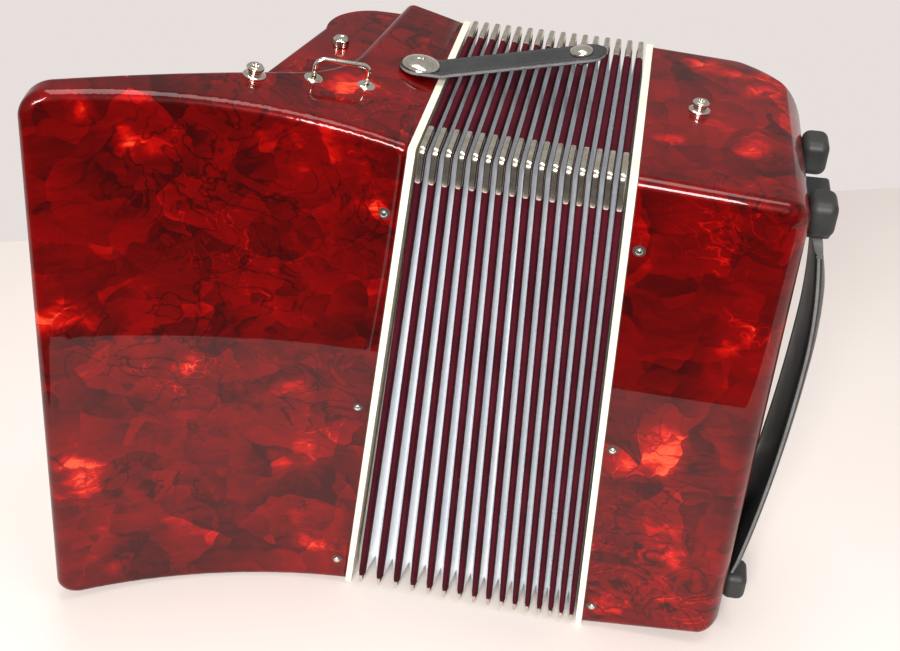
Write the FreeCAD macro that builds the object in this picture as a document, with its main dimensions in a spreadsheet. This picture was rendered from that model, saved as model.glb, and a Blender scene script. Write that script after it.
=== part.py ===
import FreeCAD, Part
import math
import os
import Sketcher
from FreeCAD import Placement, Rotation, Vector

# Piano accordion with 25 treble keys and 48 bass buttons, standing on its playing-top end with the
# bellows fanned open. Three local frames are used, all with z = 0 at mid height and y = 0 on the
# player's side: the treble frame has x = 0 at the red/white seam and its body towards -x, the bass
# frame has x = 0 at its seam and its body towards +x, and the key frame lies along the key tops.

doc = FreeCAD.newDocument("accordion")
sheet = doc.addObject("Spreadsheet::Sheet", "dims")

DIMENSIONS = [
    # the two body halves, standing
    ("frame_height", 310.0),
    ("frame_depth", 152.0),
    ("strip_width", 3.6),
    ("treble_lean", 5.8),
    ("bass_lean", 1.9),
    ("gap_floor", 147.7),
    # treble case
    ("wall", 5.0),
    ("back_sweep", 297.0),
    ("tip_back_x", -164.0),
    ("tip_back_y", -55.6),
    ("tip_front_x", -167.0),
    ("tip_front_y", -38.0),
    ("bend_low_x", -67.0),
    ("bend_low_y", 34.0),
    ("bend_high_x", -42.0),
    ("bend_high_y", 76.5),
    ("bend_curve", 60.0),
    ("chest_x", -33.0),
    ("flare", 13.8),
    ("flare_reach", 176.0),
    ("flare_curve", 1000.0),
    ("tip_round", 13.0),
    ("edge_round", 5.0),
    ("chamber_height", 296.0),
    ("keyboard_height", 308.0),
    # keyboard
    ("key_angle", 35.76),
    ("white_keys", 15.0),
    ("key_pitch", 20.4),
    ("key_gap", 1.0),
    ("key_start", 2.0),
    ("key_end", 111.0),
    ("key_top", 3.0),
    ("key_bottom", -6.0),
    ("notch_start", 48.0),
    ("black_width", 10.6),
    ("black_top", 11.0),
    ("axle_x", -69.5),
    ("axle_y", 28.5),
    ("axle_radius", 1.5),
    ("axle_fit", 0.05),
    ("hub_radius", 4.0),
    ("lever_width", 4.0),
    ("pallet_width", 13.0),
    ("bed_top", -10.0),
    ("bed_bottom", -13.0),
    # grille
    ("grille_height", 302.0),
    ("grille_wall", 2.5),
    # bellows
    ("folds", 16.0),
    ("fold_depth", 13.0),
    ("fold_wall", 3.0),
    ("peak_proud", 1.2),
    ("peak_inset_floor", 1.4),
    ("fan_skew", 0.33),
    ("guard_leg", 16.0),
    ("guard_width", 3.0),
    ("guard_thickness", 0.6),
    ("frame_border", 12.0),
    ("tongue_depth", 12.0),
    ("tongue_wall", 5.0),
    # bass case
    ("bass_width", 80.0),
    ("bass_taper", 6.3),
    ("bass_front_round", 54.4),
    ("bass_back_round", 12.0),
    ("bass_end_round", 13.0),
    ("plate_thickness", 2.0),
    ("foot_height", 13.3),
    # bass buttons
    ("button_radius", 3.6),
    ("button_pitch", 16.5),
    ("button_row_pitch", 12.5),
    ("button_board_top", 42.0),
    ("button_board_thickness", 4.0),
    ("button_top", 49.0),
    ("button_columns", 12.0),
    # leather
    ("strap_width", 17.5),
    ("strap_thickness", 2.2),
    ("hand_strap_width", 52.0),
    ("hand_strap_thickness", 6.5),
    # small fittings
    ("pin_head", 2.1),
    ("pin_shank", 1.0),
    ("stud_radius", 4.25),
    ("dome_radius", 9.7),
    ("strap_screw_shank", 2.5),
    ("dome_height", 3.2),
    ("cap_radius", 6.0),
    ("wire_radius", 1.25),
]
for row, (name, value) in enumerate(DIMENSIONS, start=1):
    sheet.set(f"A{row}", name)
    sheet.set(f"B{row}", str(value))
    sheet.setAlias(f"B{row}", name)
doc.recompute()
CELL = {name: f"B{row}" for row, (name, _) in enumerate(DIMENSIONS, start=1)}


def d(name):
    """The sheet's present value of a driving dimension."""
    return float(sheet.get(name))


HALF = d("frame_height") / 2
DEPTH = d("frame_depth")
Y_AXIS = Vector(0, 1, 0)
Z_AXIS = Vector(0, 0, 1)
PIN_HEIGHTS = (117.0, -10.0, -137.0)
TREBLE_PIN_X, BASS_PIN_X = -7.0, 4.8
STRAP_AT_X, STRAP_AT_Y = -10.0, 74.5
nodes = []  # (object, frame name, placement inside that frame)


def keep(obj, label, frame, local=None):
    """Name a sub-part and note which local frame it is built in."""
    obj.Label = label
    nodes.append((obj, frame, local or Placement()))
    return obj


# ---------------------------------------------------------------- sketch and solid helpers


def sketch(owner, name, loops, plane="XY_Plane"):
    """Closed loops of vertices on one of a body's origin planes.

    Each loop is (vertices, arcs): vertices are (x, y) as numbers or sheet expressions, and arcs maps a
    segment's index to (radius, side), with side +1 when the centre lies to the left of the segment.
    """
    sk = owner.newObject("Sketcher::SketchObject", name)
    base = [o for o in owner.Origin.OriginFeatures if o.Role == plane][0]
    sk.AttachmentSupport = (base, "")
    sk.MapMode = "FlatFace"
    for vertices, arcs in loops:
        add_loop(sk, vertices, arcs)
    return sk


def number(sk, expression):
    """The value of a plain number or of a sheet expression."""
    if isinstance(expression, (int, float)):
        return float(expression)
    return float(sk.evalExpression(expression))


def add_loop(sk, vertices, arcs):
    points = [Vector(number(sk, x), number(sk, y), 0) for x, y in vertices]
    count = len(points)
    ends = []
    for i, start in enumerate(points):
        stop = points[(i + 1) % count]
        if i in arcs:
            radius = number(sk, arcs[i][0])
            chord = stop - start
            normal = Vector(-chord.y, chord.x, 0).normalize() * arcs[i][1]
            sag = radius - math.sqrt(radius**2 - chord.Length**2 / 4)
            geo = sk.addGeometry(Part.Arc(start, (start + stop) * 0.5 - normal * sag, stop))
            forward = (sk.getPoint(geo, 1) - start).Length < 1e-4
            ends.append((geo, 1, 2) if forward else (geo, 2, 1))
        else:
            ends.append((sk.addGeometry(Part.LineSegment(start, stop)), 1, 2))
    for i, (geo, _, last) in enumerate(ends):
        following = ends[(i + 1) % count]
        sk.addConstraint(Sketcher.Constraint("Coincident", geo, last, following[0], following[1]))
    for i, (x, y) in enumerate(vertices):
        pin_down(sk, "DistanceX", ends[i], x, points[i].x)
        pin_down(sk, "DistanceY", ends[i], y, points[i].y)
    for i, (radius, _) in arcs.items():
        index = sk.addConstraint(Sketcher.Constraint("Radius", ends[i][0], number(sk, radius)))
        bind(sk, index, radius)


def pin_down(sk, kind, end, expression, value):
    index = sk.addConstraint(Sketcher.Constraint(kind, -1, 1, end[0], end[1], value))
    bind(sk, index, expression)


def bind(sk, index, expression):
    if isinstance(expression, str):
        sk.setExpression(f"Constraints[{index}]", expression)


def rectangle(x0, y0, x1, y1):
    return ([(x0, y0), (x1, y0), (x1, y1), (x0, y1)], {})


def new_body(name):
    return doc.addObject("PartDesign::Body", name)


def pad(owner, profile, length, name):
    """Pad a sketch by the same amount on both sides of its plane."""
    feature = owner.newObject("PartDesign::Pad", name)
    feature.Profile = profile
    feature.Midplane = True
    feature.setExpression("Length", str(length))
    profile.Visibility = False
    return feature


def pocket(owner, profile, length, name):
    """Cut a sketch on both sides of its plane, and check that something was removed."""
    before = owner.Shape.Volume
    feature = owner.newObject("PartDesign::Pocket", name)
    feature.Profile = profile
    feature.Midplane = True
    feature.setExpression("Length", str(length))
    doc.recompute()
    if not feature.Shape.Volume < before - 0.01:
        raise RuntimeError(f"{owner.Name}.{name} removed nothing")
    return feature


def block(name, x, y, z):
    """A Part::Box given by its low and high x, y and z, as numbers or sheet expressions."""
    box = doc.addObject("Part::Box", name)
    for axis, size, (low, high) in zip("xyz", ("Length", "Width", "Height"), (x, y, z), strict=True):
        box.setExpression(size, f"({high}) - ({low})")
        box.setExpression(f"Placement.Base.{axis}", f"({low}) * 1 mm")
    return box


def rod(name, centre, axis, radius, length):
    """A Part::Cylinder from centre along axis."""
    cylinder = doc.addObject("Part::Cylinder", name)
    cylinder.setExpression("Radius", str(radius))
    cylinder.setExpression("Height", str(length))
    cylinder.Placement = Placement(Vector(*centre), Rotation(Z_AXIS, Vector(*axis)))
    return cylinder


def group(name, members):
    """Separate solids that share one node."""
    compound = doc.addObject("Part::Compound", name)
    compound.Links = members
    return compound


def fuse(name, members):
    joined = doc.addObject("Part::MultiFuse", name)
    joined.Shapes = members
    return joined


def cut(name, base, tool):
    result = doc.addObject("Part::Cut", name)
    result.Base = base
    result.Tool = tool
    return result


def turned(name, profile):
    """A PartDesign revolution about z of an (r, z) outline."""
    owner = new_body(name)
    outline = sketch(owner, name + "_outline", [(profile, {})], "XZ_Plane")
    feature = owner.newObject("PartDesign::Revolution", name + "_turn")
    feature.Profile = outline
    feature.ReferenceAxis = (outline, ["V_Axis"])
    feature.Angle = 360
    return owner


def copies(name, source, places):
    """The same fastener at several places, as a group of separate solids."""
    doc.recompute()
    feature = doc.addObject("Part::Feature", name)
    solids = []
    for place in places:
        solid = source.Shape.copy()
        solid.Placement = place
        solids.append(solid)
    feature.Shape = Part.makeCompound(solids)
    return feature


def flare_at(x):
    """Height and slope of the treble's flared end above the straight line of the frame, at x."""
    tip, rise, radius = -d("flare_reach"), d("flare"), d("flare_curve")
    middle = Vector(tip / 2, rise / 2)
    chord = Vector(tip, rise)
    normal = Vector(rise, -tip).normalize()
    centre = middle - normal * math.sqrt(radius**2 - chord.Length**2 / 4)
    height = centre.y + math.sqrt(radius**2 - (x - centre.x) ** 2)
    return height, -(x - centre.x) / (height - centre.y)


def on_treble_end(x, y):
    """Place on the treble's upper end face, z along the local normal."""
    height, slope = flare_at(x)
    return Placement(Vector(x, y, HALF + height), Rotation(Y_AXIS, -math.degrees(math.atan(slope))))


def on_bass_end(x, y):
    drop = d("bass_taper") / d("bass_width")
    return Placement(Vector(x, y, HALF - drop * x), Rotation(Y_AXIS, math.degrees(math.atan(drop))))


# ---------------------------------------------------------------- treble case

TIP_BACK = ("dims.tip_back_x", "dims.tip_back_y")
TIP_FRONT = ("dims.tip_front_x", "dims.tip_front_y")
BEND_LOW = ("dims.bend_low_x", "dims.bend_low_y")
BEND_HIGH = ("dims.bend_high_x", "dims.bend_high_y")


def flare_outline():
    """The treble's elevation on the XZ plane, with both ends flared towards the wing tip."""
    top = "dims.frame_height / 2"
    tip = "(dims.frame_height / 2 + dims.flare)"
    far = "-dims.flare_reach"
    vertices = [(1, "-" + top), (1, top), (0, top), (far, tip), (far, "-" + tip), (0, "-" + top)]
    return (vertices, {2: ("dims.flare_curve", 1), 4: ("dims.flare_curve", 1)})


def make_treble_case():
    owner = new_body("treble_case")
    plan = (
        [(0, 0), TIP_BACK, TIP_FRONT, BEND_LOW, BEND_HIGH,
         ("dims.chest_x", "dims.frame_depth"), (0, "dims.frame_depth")],
        {0: ("dims.back_sweep", 1), 3: ("dims.bend_curve", 1)},
    )
    pad(owner, sketch(owner, "case_plan", [plan]), "dims.frame_height + 50", "case_pad")
    doc.recompute()
    surround = rectangle(-250, -250, 50, 250)
    pocket(owner, sketch(owner, "case_flare", [surround, flare_outline()], "XZ_Plane"), 500, "case_ends")
    round_edges(owner, "tip_corners", "dims.tip_round", is_tip_corner)
    round_edges(owner, "outline_round", "dims.edge_round", is_case_outline)

    # reed chamber, open to the bellows, behind a narrow front wall
    inner_sweep = "dims.back_sweep - dims.wall"
    chamber = (
        [(1, "dims.wall"), (BEND_LOW[0], "dims.wall - 9.5"), (BEND_LOW[0], "dims.frame_depth + 9"),
         ("dims.chest_x", "dims.frame_depth + 9"), ("dims.chest_x", "dims.frame_depth - dims.wall"),
         (1, "dims.frame_depth - dims.wall")],
        {0: (inner_sweep, 1)},
    )
    pocket(owner, sketch(owner, "chamber", [chamber]), "dims.chamber_height", "chamber_cut")
    keyboard = (
        [(BEND_LOW[0] + " + 6", "dims.wall - 8.4"), ("dims.tip_back_x + 1.5", "dims.tip_back_y + 4.5"),
         ("dims.tip_front_x - 9", "dims.tip_front_y - 4"), ("dims.tip_front_x - 9", "dims.frame_depth"),
         (BEND_LOW[0] + " + 6", "dims.frame_depth")],
        {0: (inner_sweep, 1)},
    )
    pocket(owner, sketch(owner, "keyboard_recess", [keyboard]), "dims.keyboard_height", "keyboard_cut")
    pin_holes(owner, TREBLE_PIN_X)
    strap_screw_hole(owner)
    return owner


def round_edges(owner, name, radius, wanted):
    """Fillet the tip's edges that pass a test."""
    doc.recompute()
    tip = owner.Tip
    names = [f"Edge{i}" for i, e in enumerate(tip.Shape.Edges, start=1) if wanted(e)]
    feature = owner.newObject("PartDesign::Fillet", name)
    feature.Base = (tip, names)
    feature.setExpression("Radius", radius)
    doc.recompute()
    return feature


def is_tip_corner(edge):
    """The short edges where the wing tip's face meets the flared ends."""
    box = edge.BoundBox
    return box.XMax < d("tip_back_x") + 2 and box.ZLength < 1 and abs(box.ZMin) > HALF


def is_case_outline(edge):
    """Edges round the treble case, apart from those at the bellows seam."""
    box = edge.BoundBox
    return box.XMin < -1.0 and not (abs(box.XMax) < 0.01 and abs(box.XMin) < 0.01)


def pin_holes(owner, x):
    """Holes through the back and front walls for the bellows pins."""
    sk = owner.newObject("Sketcher::SketchObject", "pin_holes")
    base = [o for o in owner.Origin.OriginFeatures if o.Role == "XZ_Plane"][0]
    sk.AttachmentSupport = (base, "")
    sk.MapMode = "FlatFace"
    for height in PIN_HEIGHTS:
        geo = sk.addGeometry(Part.Circle(Vector(x, height, 0), Z_AXIS, 1.05))
        index = sk.addConstraint(Sketcher.Constraint("Radius", geo, 1.05))
        sk.setExpression(f"Constraints[{index}]", "dims.pin_shank + 0.05")
        pin_down(sk, "DistanceX", (geo, 3), x, x)
        pin_down(sk, "DistanceY", (geo, 3), height, height)
    pocket(owner, sk, 500, "pin_hole_cut")


def strap_screw_hole(owner):
    """Hole through the case's upper end for the screw that holds the bellows strap."""
    sk = owner.newObject("Sketcher::SketchObject", "strap_screw_hole")
    base = [o for o in owner.Origin.OriginFeatures if o.Role == "XY_Plane"][0]
    sk.AttachmentSupport = (base, "")
    sk.MapMode = "FlatFace"
    sk.AttachmentOffset = Placement(Vector(0, 0, HALF + 15), Rotation())
    geo = sk.addGeometry(Part.Circle(Vector(STRAP_AT_X, STRAP_AT_Y, 0), Z_AXIS, 2.6))
    index = sk.addConstraint(Sketcher.Constraint("Radius", geo, 2.6))
    sk.setExpression(f"Constraints[{index}]", "dims.strap_screw_shank + 0.1")
    pin_down(sk, "DistanceX", (geo, 3), STRAP_AT_X, STRAP_AT_X)
    pin_down(sk, "DistanceY", (geo, 3), STRAP_AT_Y, STRAP_AT_Y)
    pocket(owner, sk, 60, "strap_screw_hole_cut")


keep(make_treble_case(), "treble_case", "treble")

# ---------------------------------------------------------------- treble inside


def make_bellows_frame(label, side):
    """White frame strip against a case's seam, with a tongue that slides into the case."""
    owner = new_body(label)
    half = "dims.frame_height / 2"
    inset = "dims.frame_border"
    rim = rectangle(0, "-" + half, "dims.frame_depth", half)
    hole = rectangle(inset, f"-{half} + {inset}", f"dims.frame_depth - {inset}", f"{half} - {inset}")
    flange = pad(owner, sketch(owner, "rim", [rim, hole], "YZ_Plane"), "dims.strip_width", "flange")
    flange.Midplane = False
    flange.Reversed = side < 0
    gap = "(dims.wall + 0.3)"
    low = "dims.chamber_height / 2 - 0.3"
    outer = rectangle(gap, "-(" + low + ")", f"dims.frame_depth - {gap}", low)
    tongue = pad(owner, sketch(owner, "tongue_outline", [outer, hole], "YZ_Plane"),
                 "dims.tongue_depth", "tongue")
    tongue.Midplane = False
    tongue.Reversed = side > 0
    doc.recompute()
    pin_holes(owner, TREBLE_PIN_X if side > 0 else BASS_PIN_X)
    return owner


keep(make_bellows_frame("treble_bellows_frame", 1), "treble_bellows_frame", "treble")

SOUNDBOARD_OUT, SOUNDBOARD_IN = -36.0, -30.0
board_half = "(dims.chamber_height / 2 - 0.1)"
board = block("board_blank", (SOUNDBOARD_OUT, SOUNDBOARD_IN),
              ("dims.wall + 1", "dims.frame_depth - dims.wall - 0.2"), ("-" + board_half, board_half))


def key_layout():
    """Key centres along z: white keys low to high, then black keys with the whites they lie between."""
    count = int(d("white_keys"))
    pitch = d("key_pitch")
    whites = [(i - (count - 1) / 2) * pitch for i in range(count)]
    scale = "CDEFGAB"
    blacks = [i for i in range(count - 1) if scale[i % 7] in "CDFGA"]
    return whites, [(i, (whites[i] + whites[i + 1]) / 2) for i in blacks]


WHITES, BLACKS = key_layout()
KEY_HEIGHTS = WHITES + [z for _, z in BLACKS]
PALLET_Y = {True: (60.0, 84.0), False: (98.0, 122.0)}  # white keys' pallets, black keys' pallets

board_holes = [
    block(f"air_hole_{i}", (SOUNDBOARD_OUT - 1, SOUNDBOARD_IN + 1),
          (PALLET_Y[i < len(WHITES)][0] + 4, PALLET_Y[i < len(WHITES)][1] - 4), (z - 4.0, z + 4.0))
    for i, z in enumerate(KEY_HEIGHTS)
]
soundboard = cut("soundboard_cut", board, group("air_holes", board_holes))
keep(soundboard, "treble_soundboard", "treble")

reed_blocks = [
    block(f"reed_block_{i}", (SOUNDBOARD_IN + 0.1, 6), (low, low + 24.0), (-138, 138))
    for i, low in enumerate((24.0, 60.0, 98.0))
]
keep(group("treble_reeds", reed_blocks), "treble_reed_blocks", "treble")

# ---------------------------------------------------------------- keyboard

# the key frame: x from the wing tip towards the grille, y out of the key tops
KEY_PLACE = Placement(Vector(d("tip_front_x"), d("tip_front_y"), 0), Rotation(Z_AXIS, d("key_angle")))
AXLE = KEY_PLACE.inverse().multVec(Vector(d("axle_x"), d("axle_y"), 0))


def in_key_frame(x, y):
    """A treble-frame point in the key frame."""
    point = KEY_PLACE.inverse().multVec(Vector(x, y, 0))
    return point.x, point.y


bed_half = "(dims.keyboard_height / 2 - 0.5)"
bed = block("bed", (2.0, 108.0), ("dims.bed_bottom", "dims.bed_top"), ("-" + bed_half, bed_half))
keep(group("key_bed_group", [bed]), "key_bed", "treble", KEY_PLACE)
axle = rod("axle", (0, 0, -(d("keyboard_height") / 2 - 0.5)), (0, 0, 1), "dims.axle_radius",
           "dims.keyboard_height - 1")
axle_place = Placement(Vector(d("axle_x"), d("axle_y"), 0), Rotation())
keep(group("axle_group", [axle]), "key_axle", "treble", axle_place)


def lever_outline(pallet):
    """Plan of a key's lever in the key frame, from the key's inner end over the hub to its pallet."""
    shank_x, low_y, high_y = SOUNDBOARD_OUT - 7.5, pallet[0], pallet[1]
    path = [(AXLE.x - 9, AXLE.y - 2.5), (AXLE.x, AXLE.y - 2.5),
            in_key_frame(shank_x + 1.5, low_y - 14), in_key_frame(shank_x + 3.0, low_y),
            in_key_frame(SOUNDBOARD_OUT - 4.2, low_y + 1), in_key_frame(SOUNDBOARD_OUT - 4.2, high_y - 1),
            in_key_frame(shank_x, high_y - 1), in_key_frame(shank_x - 1.5, low_y - 12),
            (AXLE.x - 4, AXLE.y + 2.5), (AXLE.x - 9, AXLE.y + 2.5)]
    return path


def extruded_outline(name, points, low, high):
    """A plan outline as a straight-sided solid between two heights."""
    wire = doc.addObject("Part::Feature", name + "_outline")
    wire.Shape = Part.makePolygon([Vector(x, y, low) for x, y in [*points, points[0]]])
    solid = doc.addObject("Part::Extrusion", name)
    solid.Base = wire
    solid.DirMode = "Custom"
    solid.Dir = Z_AXIS
    solid.LengthFwd = high - low
    solid.Solid = True
    return solid


def make_key(label, z, is_white, low_side, high_side):
    """One key: its body, hub and lever, and a pallet that closes its air hole.

    low_side and high_side are how far the rear of the body reaches from z on each side.
    """
    half_front = (d("key_pitch") - d("key_gap")) / 2
    height = "dims.key_top" if is_white else "dims.black_top"
    rear_start = d("notch_start") + (0 if is_white else 1.0)
    members = [block(f"{label}_rear", (rear_start, "dims.key_end"), ("dims.key_bottom", height),
                     (z - low_side, z + high_side))]
    if is_white:
        members.append(block(f"{label}_front", ("dims.key_start", rear_start),
                             ("dims.key_bottom", height), (z - half_front, z + half_front)))
    pallet = PALLET_Y[is_white]
    half_lever = d("lever_width") / 2
    members.append(extruded_outline(f"{label}_lever", lever_outline(pallet), z - half_lever, z + half_lever))
    members.append(rod(f"{label}_hub", (AXLE.x, AXLE.y, z - half_lever), (0, 0, 1),
                       "dims.hub_radius", "dims.lever_width"))
    half_pallet = d("pallet_width") / 2 if is_white else 5.0
    pad_points = [in_key_frame(x, y) for x, y in (
        (SOUNDBOARD_OUT - 4.3, pallet[0]), (SOUNDBOARD_OUT - 0.1, pallet[0]),
        (SOUNDBOARD_OUT - 0.1, pallet[1]), (SOUNDBOARD_OUT - 4.3, pallet[1]))]
    chamber_end = d("chamber_height") / 2 - 0.5
    pad_low = max(z - half_pallet, -chamber_end)
    pad_high = min(z + half_pallet, chamber_end)
    members.append(extruded_outline(f"{label}_pallet", pad_points, pad_low, pad_high))
    bore = rod(f"{label}_bore", (AXLE.x, AXLE.y, z - 12), (0, 0, 1), "dims.axle_radius + dims.axle_fit", 24)
    return cut(f"{label}_cut", fuse(f"{label}_solid", members), bore)


for i, z in enumerate(WHITES):
    below = any(left == i - 1 for left, _ in BLACKS)
    above = any(left == i for left, _ in BLACKS)
    full = (d("key_pitch") - d("key_gap")) / 2
    notched = d("key_pitch") / 2 - d("black_width") / 2 - d("key_gap")
    key = make_key(f"white_key_{i + 1:02d}", z, True, notched if below else full, notched if above else full)
    keep(key, f"white_key_{i + 1:02d}", "treble", KEY_PLACE)
for i, (_, z) in enumerate(BLACKS):
    key = make_key(f"black_key_{i + 1:02d}", z, False, d("black_width") / 2, d("black_width") / 2)
    keep(key, f"black_key_{i + 1:02d}", "treble", KEY_PLACE)

# ---------------------------------------------------------------- grille

GRILLE_LOW = (-84.0, 50.0)
GRILLE_BEND = (-70.0, 118.0)
GRILLE_FRONT = (-50.0, 148.5)


def make_grille():
    """Cover over the pallets, open towards the case and the keys, with rows of sound slots."""
    owner = new_body("treble_grille")
    seam_x, seam_y = "dims.chest_x - 0.3", "dims.frame_depth"
    outline = (
        [GRILLE_LOW, ("dims.bend_low_x - 0.6", "dims.bend_low_y + 0.6"),
         ("dims.bend_high_x - 0.4", "dims.bend_high_y + 0.4"), (seam_x, seam_y), GRILLE_FRONT, GRILLE_BEND],
        {1: ("dims.bend_curve", 1), 3: (150, 1), 4: (32, 1)},
    )
    pad(owner, sketch(owner, "grille_plan", [outline]), "dims.grille_height", "grille_pad")
    round_edges(owner, "grille_round", "3.0", is_grille_outline)
    wall = d("grille_wall")
    hollow = (
        [(GRILLE_LOW[0] + wall + 0.4, GRILLE_LOW[1] - 30), (-20.0, GRILLE_LOW[1] - 30),
         (-20.0, DEPTH - wall), (GRILLE_FRONT[0] + 1.0, GRILLE_FRONT[1] - wall),
         (GRILLE_BEND[0] + wall, GRILLE_BEND[1] - 0.4), (GRILLE_LOW[0] + wall + 0.4, GRILLE_LOW[1])],
        {3: (29, 1)},
    )
    inner = "dims.grille_height - 2 * dims.grille_wall"
    pocket(owner, sketch(owner, "grille_hollow", [hollow]), inner, "grille_hollow_cut")
    slots = []
    for column in range(8):
        z = (column - 3.5) * 34.0
        for y in (66.0, 84.0, 102.0):
            slots.append(rectangle(y - 4.5, z - 13, y + 4.5, z + 13))
    slot_sketch = sketch(owner, "slots", slots, "YZ_Plane")
    before = owner.Shape.Volume
    feature = owner.newObject("PartDesign::Pocket", "slot_cut")
    feature.Profile = slot_sketch
    feature.Length = 95
    feature.Reversed = False
    doc.recompute()
    if not feature.Shape.isValid() or feature.Shape.Volume > before - 1:
        feature.Reversed = True
        doc.recompute()
    holes = sketch(owner, "screw_holes", [])
    for x, y in SCREW_POINTS:
        geo = holes.addGeometry(Part.Circle(Vector(x, y, 0), Z_AXIS, 1.6))
        holes.addConstraint(Sketcher.Constraint("Radius", geo, 1.6))
        pin_down(holes, "DistanceX", (geo, 3), x, x)
        pin_down(holes, "DistanceY", (geo, 3), y, y)
    pocket(owner, holes, 500, "screw_hole_cut")
    return owner


SCREW_POINTS = [(-57.0, 96.0)]


def is_grille_outline(edge):
    """Edges of the grille's ends that border the keys."""
    return edge.BoundBox.ZLength < 0.01 and edge.CenterOfMass.x < -66


keep(make_grille(), "treble_grille", "treble")

end_z = d("grille_height") / 2
screw_head = turned("grille_screw_pattern", [(0, -7), (1.5, -7), (1.5, 0.05), (4.2, 0.05), (4.2, 4.0),
                                             (3.4, 4.8), (0, 4.8)])
screws = copies("grille_screw_set", screw_head,
                [Placement(Vector(x, y, end_z), Rotation()) for x, y in SCREW_POINTS]
                + [Placement(Vector(x, y, -end_z), Rotation(Vector(1, 0, 0), 180)) for x, y in SCREW_POINTS])
keep(screws, "grille_screws", "treble")

# ---------------------------------------------------------------- fittings on the treble

pin = turned("pin_pattern", [(0, -9.0), (1.0, -9.0), (1.0, 0.05), (2.1, 0.05), (2.0, 0.7), (1.3, 1.4),
                             (0, 1.6)])


def pin_places(x, back_y, front_y):
    """Bellows pins on the back wall and on the front wall."""
    places = []
    for height in PIN_HEIGHTS:
        places.append(Placement(Vector(x, back_y, height), Rotation(Vector(1, 0, 0), 90)))
        places.append(Placement(Vector(x, front_y, height), Rotation(Vector(1, 0, 0), -90)))
    return places


def back_face_y(x):
    """The treble's swept back face at x."""
    radius = d("back_sweep")
    tip = Vector(d("tip_back_x"), d("tip_back_y"))
    normal = Vector(-tip.y, tip.x).normalize()
    centre = tip * 0.5 + normal * math.sqrt(radius**2 - tip.Length**2 / 4)
    if centre.y > 0:
        centre = tip * 0.5 - normal * math.sqrt(radius**2 - tip.Length**2 / 4)
    return centre.y + math.sqrt(radius**2 - (x - centre.x) ** 2)


keep(copies("treble_pin_set", pin, pin_places(TREBLE_PIN_X, back_face_y(TREBLE_PIN_X) - 0.1, DEPTH)),
     "treble_bellows_pins", "treble")

stud = turned("stud_pattern", [(0, 0.0), (5.5, 0.0), (5.5, 0.7), (4.6, 1.2), (3.5, 1.6), (3.5, 3.0),
                               (4.25, 3.5), (4.25, 4.6), (3.4, 5.4), (1.6, 5.4), (1.6, 4.2), (0, 4.2)])
treble_stud_place = on_treble_end(-79.5, 16.5).multiply(Placement(Vector(0, 0, 0.04), Rotation()))
keep(copies("treble_stud", stud, [treble_stud_place]),
     "treble_snap_stud", "treble")

BAIL_A, BAIL_B = Vector(-54.6, 31.0, 0), Vector(-30.5, 41.0, 0)


def make_bail():
    """Bent wire staple that a shoulder strap's hook goes through, with its legs' feet on the case."""
    radius, height, bend = d("wire_radius"), 10.6, 4.0
    span = (BAIL_B - BAIL_A).Length
    c = bend * (1 - math.sqrt(0.5))
    path = Part.Wire([
        Part.LineSegment(Vector(0, 0, 0.1), Vector(0, 0, height - bend)).toShape(),
        Part.Arc(Vector(0, 0, height - bend), Vector(c, 0, height - c), Vector(bend, 0, height)).toShape(),
        Part.LineSegment(Vector(bend, 0, height), Vector(span - bend, 0, height)).toShape(),
        Part.Arc(Vector(span - bend, 0, height), Vector(span - c, 0, height - c),
                 Vector(span, 0, height - bend)).toShape(),
        Part.LineSegment(Vector(span, 0, height - bend), Vector(span, 0, 0.1)).toShape(),
    ])
    profile = Part.Wire([Part.Circle(Vector(0, 0, 0.1), Z_AXIS, radius).toShape()])
    feature = doc.addObject("Part::Feature", "bail_wire")
    feature.Shape = path.makePipeShell([profile], True, False)
    return feature


def bail_place():
    a = on_treble_end(BAIL_A.x, BAIL_A.y).Base
    b = on_treble_end(BAIL_B.x, BAIL_B.y).Base
    along = (b - a).normalize()
    up = Vector(0, 0, 1) - along * along.z
    return Placement(a, Rotation(along, Vector(), up, "ZXY"))


washer = turned("washer_pattern", [(1.3, 0), (4.5, 0), (4.5, 0.5), (3.4, 1.1), (1.3, 1.1)])
in_bail = bail_place().inverse()
washers = copies("washer_set", washer, [
    in_bail.multiply(on_treble_end(point.x, point.y)).multiply(Placement(Vector(0, 0, 0.04), Rotation()))
    for point in (BAIL_A, BAIL_B)
])
keep(group("bail_and_washers", [make_bail(), washers]), "strap_bail", "treble", bail_place())

# ---------------------------------------------------------------- leather bellows strap

STRAP_SWING = 11.5
STRAP_AT = Vector(STRAP_AT_X, STRAP_AT_Y, HALF + flare_at(STRAP_AT_X - 12.0)[0] + 0.1)
STRAP_PLACE = Placement(STRAP_AT, Rotation(Z_AXIS, STRAP_SWING))
STRAP_BEND_X, STRAP_RISE_X, STRAP_RISE = 10.0, 92.0, 21.5


def make_bellows_strap():
    owner = new_body("bellows_strap")
    thick = "dims.strap_thickness"
    side = [(-10.5, 0), (STRAP_BEND_X, 0), (STRAP_RISE_X, STRAP_RISE),
            (STRAP_RISE_X, f"{STRAP_RISE} + {thick}"), (STRAP_BEND_X, thick), (-10.5, thick)]
    pad(owner, sketch(owner, "strap_side", [(side, {})], "XZ_Plane"), "dims.strap_width", "strap_pad")
    doc.recompute()
    round_edges(owner, "strap_ends", "dims.strap_width / 2 - 0.4", is_strap_end)
    holes = sketch(owner, "strap_holes", [])
    for x, radius in ((0.0, 2.6), (STRAP_CAP_X, 2.95)):
        geo = holes.addGeometry(Part.Circle(Vector(x, 0, 0), Z_AXIS, radius))
        holes.addConstraint(Sketcher.Constraint("Radius", geo, radius))
        pin_down(holes, "DistanceX", (geo, 3), x, x)
        pin_down(holes, "DistanceY", (geo, 3), 0, 0)
    pocket(owner, holes, 500, "strap_hole_cut")
    return owner


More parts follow.
